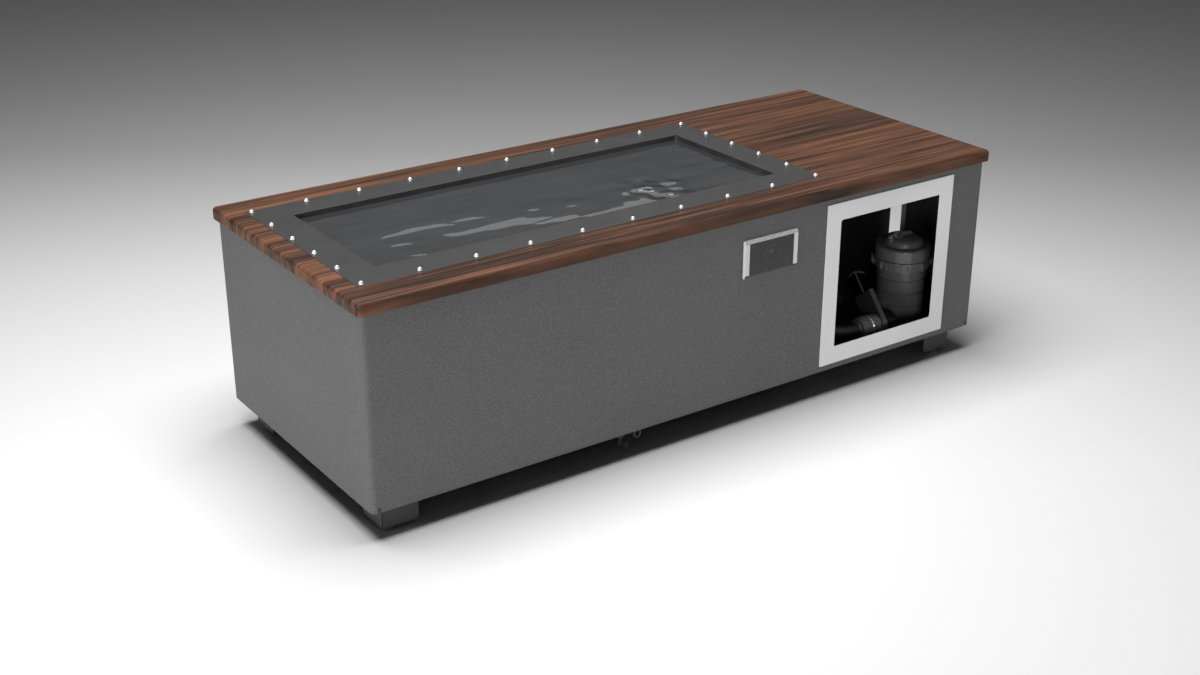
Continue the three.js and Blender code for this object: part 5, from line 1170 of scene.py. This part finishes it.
@dataclass
class FilterUnit:
    """Filter canister, lid, lock ring and air bleed."""

    x: float = 1.012
    y: float = -0.260
    base: float = 0.1006
    inlet_turn: float = math.radians(180)
    groove_heights: tuple[float, ...] = (0.0594, 0.1054, 0.1524)
    waist: float = 0.083
    waist_height: float = 0.083
    flare: float = 0.0030
    foot: float = 0.056
    foot_round: float = 0.030
    lugs: int = 8

    def build(self, finishes: Finishes) -> None:
        """Makes the four pieces."""
        plastic = finishes.by_slot[Slot.FILTER_PLASTIC]
        self.make_body(plastic)
        self.make_lid(plastic)
        self.make_ring(plastic)
        self.make_bleed(plastic)

    def place(self) -> Matrix:
        """Returns the canister's own frame."""
        return Matrix.Translation((self.x, self.y, self.base))

    def wall(self, height: float) -> float:
        """Returns the canister's radius at a height over its round base."""
        return self.waist + self.flare * ((height - self.waist_height) / 0.080) ** 2

    def make_body(self, plastic: bpy.types.Material) -> None:
        """Turns the canister with its three grooves and adds its two ports."""
        profile = [(0.0, 0.0)]
        rise, reach = self.foot_round, self.wall(self.foot_round) - self.foot
        for index in range(9):
            angle = math.pi / 2 * index / 8
            profile.append((self.foot + reach * math.sin(angle), rise - rise * math.cos(angle)))
        heights = {0.030 + 0.158 * index / 32: 0.0 for index in range(1, 33)}
        for groove in self.groove_heights:
            heights = {key: cut for key, cut in heights.items() if abs(key - groove) > 0.003}
            for step, cut in ((-0.0022, 0.0), (-0.0016, 0.0045), (0.0016, 0.0045), (0.0022, 0.0)):
                heights[groove + step] = cut
        profile += [(self.wall(height) - cut, height) for height, cut in sorted(heights.items())]
        profile += Shape.eased([
            (0.086, 0.188), (0.0908, 0.188), (0.0908, 0.200), (0.061, 0.200), (0.061, 0.008), (0.0, 0.008),
        ], 0.002)[1:]
        body = Shape.turned(profile, Axis.UP, (0, 0, 0), 72)
        port = [(0.0, 0.058), (0.026, 0.058), (0.026, 0.094), (0.0245, 0.095), (0.0, 0.095)]
        inlet = Shape.turned(port, Axis.ALONG_X, (0, 0, 0.042), 28)
        body.join(inlet.moved(Matrix.Rotation(self.inlet_turn, 4, "Z")))
        port = [(0.0, 0.050), (0.026, 0.050), (0.026, 0.089), (0.0245, 0.090), (0.0, 0.090)]
        body.join(Shape.turned(port, Axis.ALONG_Y, (0.048, 0, 0.070), 28))
        body.moved(self.place())
        body.piece("canister_body", plastic, Slot.FILTER_PLASTIC, replaces=("filter_body",))

    def make_lid(self, plastic: bpy.types.Material) -> None:
        """Turns the lid and sets its grip and its boss on the dome."""
        top, wall, dome, crown, fullness = 0.2662, 0.096, 0.0691, 0.030, 0.72
        profile = Shape.eased([
            (0.061, 0.2003), (0.090, 0.2003), (0.090, 0.2123), (0.085, 0.2123), (0.085, 0.2222),
            (wall, 0.2222), (wall, top - 0.009),
        ], 0.0015)
        for index in range(1, 7):
            angle = math.pi / 2 * index / 6
            profile.append((wall - 0.009 * (1 - math.cos(angle)), top - 0.009 * (1 - math.sin(angle))))
        profile.append((dome + 0.0035, top))
        for index in range(13):
            angle = math.pi / 2 * index / 12
            reach, rise = max(math.cos(angle), 0.0) ** fullness, math.sin(angle) ** fullness
            profile.append((dome * reach, top + crown * rise))
        profile[-1] = (0.0, top + crown)
        profile += [(0.0, top + 0.024), (0.045, top + 0.013), (0.061, top - 0.012), (0.061, 0.2003)]
        lid = Shape.turned(profile, Axis.UP, (0, 0, 0), 72)
        lid.join(self.grip(top))
        boss = Shape.eased([(0.0, top - 0.004), (0.009, top - 0.004), (0.009, 0.2902), (0.0, 0.2902)], 0.0015)
        lid.join(Shape.turned(boss, Axis.UP, (-0.058, 0, 0), 24))
        stem = [(0.0, 0.285), (0.0034, 0.285), (0.0034, 0.2966), (0.0, 0.2966)]
        lid.join(Shape.turned(stem, Axis.UP, (-0.058, 0, 0), 16))
        lid.moved(self.place())
        lid.piece("canister_lid", plastic, Slot.FILTER_PLASTIC, Body.LID, replaces=("filter_lid",))

    @staticmethod
    def grip(base: float) -> Shape:
        """Returns the lid's arched grip."""
        outline = [(-0.047, 0.0), (0.047, 0.0)]
        arcs = (((0.047, 0.0), (0.040, 0.040), (0.021, 0.040)), ((-0.0047, 0.040), (-0.0376, 0.034), (-0.047, 0.0)))
        for start, middle, end in arcs:
            for index in range(1, 9):
                share = index / 8
                parts = ((1 - share) ** 2, 2 * share * (1 - share), share ** 2)
                x = sum(part * spot[0] for part, spot in zip(parts, (start, middle, end)))
                z = sum(part * spot[1] for part, spot in zip(parts, (start, middle, end)))
                outline.append((x, z))
            if start[1] == 0.0:
                outline.append((-0.0047, 0.040))
        outline.pop()
        fin = Shape.cut_out(outline, -0.0075, 0.0075, 0.0028, 3)
        return fin.moved(Matrix.Translation((0, 0, base)) @ Matrix.Rotation(math.pi / 2, 4, "X"))

    def make_ring(self, plastic: bpy.types.Material) -> None:
        """Turns the lock ring, wider at its top, and sets its lugs round it."""
        low, high, brim = 0.1886, 0.2216, 0.2136
        profile = Shape.eased([
            (0.0918, low), (0.0958, low), (0.0958, brim), (0.0995, brim), (0.0995, high), (0.0868, high),
            (0.0868, 0.2130), (0.0918, 0.2130), (0.0918, low),
        ], 0.0012)
        ring = Shape.turned(profile, Axis.UP, (0, 0, 0), 72)
        for index in range(self.lugs):
            lug = Shape.slab((0.094, -0.004, low + 0.003), (0.104, 0.004, high - 0.003), 0.0014)
            lug.join(Shape.slab((0.094, 0.020, low + 0.003), (0.0990, 0.023, brim - 0.002), 0.0008))
            ring.join(lug.moved(Matrix.Rotation(2 * math.pi * index / self.lugs, 4, "Z")))
        ring.moved(self.place())
        ring.piece(
            "canister_lock_ring", plastic, Slot.FILTER_PLASTIC, Body.RING, replaces=("filter_lock_ring",))

    def make_bleed(self, plastic: bpy.types.Material) -> None:
        """Turns the bleed's knob and adds its two wings."""
        profile = Shape.eased([
            (0.0038, 0.2908), (0.007, 0.2908), (0.007, 0.3038), (0.0, 0.3038), (0.0, 0.2972), (0.0038, 0.2972),
            (0.0038, 0.2908),
        ], 0.0012)
        knob = Shape.turned(profile, Axis.UP, (0, 0, 0), 24)
        for side in (-1, 1):
            wing = Shape.slab((0.005, -0.002, 0.2925), (0.013, 0.002, 0.3025), 0.0008)
            knob.join(wing.moved(Matrix.Rotation(math.pi / 2 * (1 - side), 4, "Z")))
        knob.moved(self.place() @ Matrix.Translation((-0.058, 0, 0)))
        knob.piece("bleed_knob", plastic, Slot.FILTER_PLASTIC, Body.BLEED, replaces=("filter_air_bleed",))


@dataclass
class GateValve:
    """Gate valve with its two unions and T handle, and the pipes at both sides."""

    x: float = 0.823
    y: float = -0.350
    z: float = 0.1426
    lean: float = math.radians(40)
    pipe_radius: float = 0.0195
    canister_y: float = -0.260

    def build(self, finishes: Finishes) -> None:
        """Makes the valve's pieces."""
        self.make_nuts(finishes)
        self.make_tail(finishes)
        self.make_handle(finishes)
        self.make_hose(finishes)
        self.make_bend(finishes)
        body = Shape.softened("gate_valve_body", 0.0012, 2, 40)
        body.piece("gate_body", finishes.by_slot[Slot.PVC], Slot.PVC, replaces=("gate_valve_body",))

    def place(self) -> Point:
        """Returns the valve's centre."""
        return (self.x, self.y, self.z)

    def make_nuts(self, finishes: Finishes) -> None:
        """Turns the union nuts at both sides, the left one in two parts with a bright ring between."""
        near = Shape.eased([
            (0.0304, 0.0103), (0.036, 0.0103), (0.038, 0.0125), (0.038, 0.0435), (0.0304, 0.0435),
            (0.0304, 0.0103),
        ], 0.0012)
        far = Shape.eased([
            (0.0304, 0.0500), (0.0385, 0.0500), (0.0385, 0.0790), (0.033, 0.0880), (0.0252, 0.0880),
            (0.0252, 0.0695), (0.0304, 0.0695), (0.0304, 0.0500),
        ], 0.0012)
        left = Shape.turned(near, Axis.TOWARDS_LEFT, (0, 0, 0), 48)
        left.join(Shape.turned(far, Axis.TOWARDS_LEFT, (0, 0, 0), 48))
        self.add_ribs(left, Axis.TOWARDS_LEFT, 0.0380, (0.0530, 0.0770))
        left.moved(Matrix.Translation(self.place()))
        left.piece("union_nut_suction_ribbed", finishes.union_plastic, Slot.PVC, replaces=("union_nut_suction",))
        plain = Shape.eased([
            (0.0304, 0.0103), (0.035, 0.0103), (0.037, 0.0133), (0.037, 0.0523), (0.032, 0.0643),
            (0.0252, 0.0643), (0.0252, 0.0330), (0.0304, 0.0330), (0.0304, 0.0103),
        ], 0.0012)
        right = Shape.turned(plain, Axis.ALONG_X, (0, 0, 0), 48)
        self.add_ribs(right, Axis.ALONG_X, 0.0365, (0.0180, 0.0500))
        right.moved(Matrix.Translation(self.place()))
        # The filter-side nut takes the near-black finish as painted shade, though it is the same plastic as the lighter
        # suction-side nut.
        right.piece("union_nut_filter_ribbed", finishes.black_pvc_and_painted_shade, Slot.PVC, replaces=("union_nut_filter",))
        band = Shape.eased([
            (0.0304, 0.0437), (0.0378, 0.0437), (0.0378, 0.0498), (0.0304, 0.0498), (0.0304, 0.0437)], 0.0006)
        ring = Shape.turned(band, Axis.TOWARDS_LEFT, self.place(), 48)
        ring.piece("union_bright_ring", finishes.chrome, Slot.STAINLESS)

    @staticmethod
    def add_ribs(nut: Shape, side: Axis, root: float, span: tuple[float, float]) -> None:
        """Sets the grip ribs round a nut.

        Args:
            nut: The nut, at the origin.
            side: The way it points from the valve.
            root: Radius at which the ribs start.
            span: Where the ribs start and end along the nut.
        """
        for index in range(20):
            rib = Shape.slab((root, -0.0012, span[0]), (root + 0.0017, 0.0012, span[1]), 0.0006, 1)
            rib.moved(Matrix.Rotation(2 * math.pi * index / 20, 4, "Z"))
            nut.join(rib.moved(side.value))

    def make_tail(self, finishes: Finishes) -> None:
        """Turns the tail that the left nut draws to the valve."""
        profile = Shape.eased([
            (0.0196, 0.0243), (0.030, 0.0243), (0.030, 0.0690), (0.0245, 0.0690), (0.0245, 0.0880),
            (0.021, 0.0950), (0.0196, 0.0950), (0.0196, 0.0243),
        ], 0.0008)
        tail = Shape.turned(profile, Axis.TOWARDS_LEFT, self.place(), 40)
        tail.piece("union_tail", finishes.union_plastic, Slot.PVC, replaces=("union_tail_suction",))

    def make_handle(self, finishes: Finishes) -> None:
        """Makes the stem and the bowed bar of the handle."""
        stem = Shape.eased([(0.0, 0.1051), (0.004, 0.1051), (0.004, 0.1885), (0.0, 0.1885)], 0.0004)
        handle = Shape.turned(stem, Axis.UP, (0, 0, 0), 20)
        bar = [(-0.037, 0, 0.181), (0, 0, 0.197), (0.037, 0, 0.181)]
        handle.join(Shape.piped(bar, 0.060, 0.005, 16))
        lean = Matrix.Rotation(-self.lean, 4, "X")
        handle.moved(Matrix.Translation(self.place()) @ lean)
        handle.piece(
            "gate_handle", finishes.by_slot[Slot.STAINLESS], Slot.STAINLESS, Body.GATE,
            replaces=("gate_valve_handle",))

    def make_hose(self, finishes: Finishes) -> None:
        """Sweeps the pipe that comes from the basin's wall."""
        route = bpy.data.curves.new("suction_route", "CURVE")
        route.dimensions = "3D"
        route.bevel_depth = self.pipe_radius
        route.bevel_resolution = 6
        route.resolution_u = 32
        route.use_fill_caps = True
        spline = route.splines.new("BEZIER")
        spline.bezier_points.add(1)
        wall_end, valve_end = Vector((0.4742, -0.204, 0.2279)), Vector((self.x - 0.0953, self.y, self.z))
        for knot, end, run in zip(spline.bezier_points, (wall_end, valve_end), (0.085, 0.165)):
            reach = Vector((run, 0, 0))
            knot.co = end
            knot.handle_left = end - reach
            knot.handle_right = end + reach
        carrier = bpy.data.objects.new("suction_route", route)
        swept = bpy.data.meshes.new_from_object(carrier)
        shape = Shape()
        shape.mesh.from_mesh(swept)
        shape.tidy()
        bpy.data.objects.remove(carrier)
        bpy.data.meshes.remove(swept)
        bpy.data.curves.remove(route)
        shape.piece("suction_pipe", finishes.by_slot[Slot.RUBBER], Slot.RUBBER, replaces=("suction_hose",))

    def make_bend(self, finishes: Finishes) -> None:
        """Draws the double bend round to the canister's side, with its collar at the valve."""
        knee = self.x + 0.0670
        route = [
            (self.x + 0.0243, self.y, self.z), (knee, self.y, self.z), (knee, self.canister_y, self.z),
            (self.x + 0.0960, self.canister_y, self.z),
        ]
        bend = Shape.piped(route, 0.026, self.pipe_radius)
        collar = Shape.eased([
            (0.019, 0.0243), (0.030, 0.0243), (0.030, 0.0323), (0.019, 0.0323), (0.019, 0.0243)], 0.0008)
        bend.join(Shape.turned(collar, Axis.ALONG_X, self.place(), 40))
        bend.piece("filter_bend", finishes.by_slot[Slot.PVC], Slot.PVC, replaces=("filter_inlet_pipe",))


@dataclass
class Plumbing:
    """Pipes behind the hatch."""

    pipe_radius: float = 0.0195

    def build(self, finishes: Finishes) -> None:
        """Draws the pipes."""
        # The pipes in the bay take the near-black finish: partly their black PVC, partly painted shade.
        pvc = finishes.black_pvc_and_painted_shade
        routes = (
            ("return_pipe", [
                (0.4742, -0.145, 0.5998), (0.829, -0.145, 0.5998), (0.829, 0.018, 0.5998), (0.829, 0.018, 0.5244),
            ], 0.055),
            ("pump_inlet_pipe", [(1.060, -0.1697, 0.1706), (1.060, -0.135, 0.1706), (0.8663, -0.135, 0.1706)], 0.034),
            ("chiller_inlet_pipe", [(0.829, -0.135, 0.2449), (0.829, -0.135, 0.3053), (0.829, -0.0403, 0.3053)], 0.034),
        )
        for node, corners, bend in routes:
            pipe = Shape.piped(corners, bend, self.pipe_radius)
            pipe.piece(node + "_round", pvc, Slot.PVC, replaces=(node,))


@dataclass
class Drain:
    """Drain valve under the front edge, with its outlet."""

    y: float = -0.408
    z: float = 0.078

    def build(self, finishes: Finishes) -> None:
        """Makes the drain's pieces."""
        pvc = finishes.by_slot[Slot.PVC]
        outlet = Shape.piped([
            (-0.2697, self.y, self.z), (-0.2537, self.y, self.z), (-0.2537, -0.449, self.z)], 0.015, 0.013)
        mouth = max(outlet.mesh.faces, key=lambda face: -face.calc_center_median().y)
        bmesh.ops.inset_individual(outlet.mesh, faces=[mouth], thickness=0.003)
        drawn = bmesh.ops.extrude_discrete_faces(outlet.mesh, faces=[mouth])["faces"]
        bmesh.ops.translate(outlet.mesh, verts=list(drawn[0].verts), vec=(0, 0.024, 0))
        outlet.tidy()
        outlet.piece("drain_spout", pvc, Slot.PVC, replaces=("drain_outlet",))
        barrel = Shape.eased([
            (0.0, -0.310), (0.014, -0.310), (0.014, -0.301), (0.016, -0.300), (0.016, -0.280), (0.014, -0.279),
            (0.014, -0.270), (0.0, -0.270),
        ], 0.001)
        valve = Shape.turned(barrel, Axis.ALONG_X, (0, self.y, self.z), 32)
        bonnet = Shape.eased([
            (0.0, 0.070), (0.010, 0.070), (0.010, 0.059), (0.005, 0.059), (0.005, 0.047), (0.0, 0.047)], 0.0008)
        valve.join(Shape.turned(bonnet, Axis.UP, (-0.290, self.y, 0), 24))
        valve.piece("drain_cock", pvc, Slot.PVC, replaces=("drain_valve_body",))


@dataclass
class Panel:
    """Control panel: bowed bright housing, dark face and plain marks."""

    x: float = 0.232
    z: float = 0.558
    back: float = -0.4603
    face: float = -0.4715
    half_width: float = 0.105
    half_glass: float = 0.0877
    half_height: float = 0.0605
    depth: float = 0.0110
    lip: float = 0.0075
    band: float = 0.0100
    glass: float = 0.0003
    dial: float = 0.031

    def build(self, finishes: Finishes) -> None:
        """Makes the housing and its dark face, and prints the marks."""
        self.make_housing(finishes)
        self.make_face(finishes)
        self.make_marks(finishes)

    def across(self, outline: Profile, half: float, ease: float) -> Shape:
        """Draws an outline of depth and height along the panel's width.

        Args:
            outline: Points of depth off the cabinet and height off the panel's middle.
            half: Half the width.
            ease: Rounding of the two ends.

        Returns:
            The form in its place.
        """
        turn = Matrix(((0, 0, -1, self.x), (-1, 0, 0, self.back), (0, 1, 0, self.z), (0, 0, 0, 1)))
        return Shape.cut_out(outline, -half, half, ease, 3).moved(turn)

    def make_housing(self, finishes: Finishes) -> None:
        """Draws the bright housing, which leans back along its top and its bottom."""
        high, flat = self.half_height, self.half_height - self.band
        outline = [
            (0, -high), (self.lip, -high), (self.depth, -flat), (self.depth, flat), (self.lip, high), (0, high),
        ]
        housing = self.across(outline, self.half_width, 0.0014)
        housing.piece("panel_surround", finishes.by_slot[Slot.SILVER], Slot.SILVER, replaces=("panel_housing",))

    def make_face(self, finishes: Finishes) -> None:
        """Draws the dark face between the pillars and the dark bands above and below it."""
        flat = self.half_height - self.band
        low, high = self.depth - 0.002, self.depth + self.glass
        face = self.across([(low, -flat), (high, -flat), (high, flat), (low, flat)], self.half_glass, 0.0002)
        lean = (Vector((self.lip, self.half_height)) - Vector((self.depth, flat))).normalized()
        out = Vector((lean.y, -lean.x))
        for side in (1, -1):
            ends = (
                Vector((self.depth, flat)) - out * 0.001,
                Vector((self.depth, flat)) + out * self.glass,
                Vector((self.lip, self.half_height)) + out * self.glass - lean * 0.0006,
                Vector((self.lip, self.half_height)) - out * 0.001 - lean * 0.0006,
            )
            band = [(end.x, side * end.y) for end in ends]
            face.join(self.across(band, self.half_width - 0.0015, 0.0001))
        face.tidy()
        face.piece("panel_face", finishes.by_slot[Slot.DARK_GLASS], Slot.DARK_GLASS, replaces=("panel_glass",))

    def make_marks(self, finishes: Finishes) -> None:
        """Prints a plain dial ring and a few figures."""
        marks = Shape()
        for radius, x, z in ((self.dial, 0.0, 0.0), (0.007, 0.060, -0.040)):
            ring = [
                (radius - 0.0004, 0.0), (radius + 0.0004, 0.0), (radius + 0.0004, 0.0003), (radius - 0.0004, 0.0003),
                (radius - 0.0004, 0.0),
            ]
            marks.join(Shape.turned(ring, Axis.TOWARDS_FRONT, (self.x + x, self.face, self.z + z), 64))
        figures = (("38", 0.020, -0.0135, 0.004), ("1 2 3", 0.009, 0.050, 0.040), ("10", 0.009, -0.078, 0.037))
        for text, size, x, z in figures:
            marks.join(self.lettering(text, size, x, z))
        marks.piece("panel_print", finishes.marks, Slot.DARK_GLASS)

    def lettering(self, text: str, size: float, x: float, z: float) -> Shape:
        """Returns plain figures as a thin mesh on the panel's face."""
        curve = bpy.data.curves.new("figures", "FONT")
        curve.body = text
        curve.size = size
        curve.extrude = 0.00015
        carrier = bpy.data.objects.new("figures", curve)
        flat = bpy.data.meshes.new_from_object(carrier)
        shape = Shape()
        shape.mesh.from_mesh(flat)
        shape.tidy()
        bpy.data.objects.remove(carrier)
        bpy.data.meshes.remove(flat)
        bpy.data.curves.remove(curve)
        place = Matrix.Translation((self.x + x, self.face - 0.00016, self.z + z))
        return shape.moved(place @ Matrix.Rotation(math.pi / 2, 4, "X"))


@dataclass
class Cabinet:
    """Screws of the hatch frame, and the legs' foot pads."""

    hatch_low: tuple[float, float] = (0.464, 0.115)
    hatch_side: float = 0.550
    hatch_face: float = -0.4633
    screw_margin: float = 0.012
    foot_places: tuple[tuple[str, float, float], ...] = (
        ("foot_front_left", -1.082, -0.390),
        ("foot_front_right", 1.048, -0.390),
        ("foot_rear_left", -1.082, 0.390),
        ("foot_rear_right", 1.048, 0.390),
    )

    def build(self, finishes: Finishes) -> None:
        """Makes the screws and the pads."""
        self.make_screws(finishes)
        self.make_feet(finishes)

    def make_screws(self, finishes: Finishes) -> None:
        """Sets small countersunk screws at the frame's corners and the middles of its sides."""
        profile = [(0.0, -0.0012), (0.0042, -0.0002), (0.0044, 0.0004), (0.003, 0.0007), (0.0012, 0.0006), (0.0, -0.0002)]
        near, middle, far = self.screw_margin, self.hatch_side / 2, self.hatch_side - self.screw_margin
        spots = [(a, b) for a in (near, middle, far) for b in (near, middle, far) if (a, b) != (middle, middle)]
        screws = Shape()
        for along, up in spots:
            place = (self.hatch_low[0] + along, self.hatch_face, self.hatch_low[1] + up)
            screws.join(Shape.turned(profile, Axis.TOWARDS_FRONT, place, 16))
        screws.piece("hatch_screws", finishes.by_slot[Slot.WHITE_FRAME], Slot.WHITE_FRAME)

    def make_feet(self, finishes: Finishes) -> None:
        """Turns the round pads and their stems."""
        profile = Shape.eased([
            (0.0, 0.0), (0.023, 0.0), (0.023, 0.012), (0.007, 0.012), (0.007, 0.0907), (0.0, 0.0907)], 0.0015)
        for node, x, y in self.foot_places:
            foot = Shape.turned(profile, Axis.UP, (x, y, 0), 40)
            foot.piece(node + "_pad", finishes.by_slot[Slot.RUBBER], Slot.RUBBER, replaces=(node,))


def main() -> None:
    """Builds the studio, the finishes and every sub-assembly."""
    bpy.context.scene.view_settings.view_transform = "Standard"
    studio = Studio()
    studio.make_camera()
    studio.lay_floor()
    finishes = Finishes()
    finishes.dress_nodes()
    water = Water()
    assemblies = (Deck(), Rim(), water, FilterUnit(), GateValve(), Plumbing(), Drain(), Panel(), Cabinet())
    for assembly in assemblies:
        assembly.build(finishes)
        log.info("%s done", type(assembly).__name__)
    studio.light(water.body)


if __name__ == "__main__":
    main()
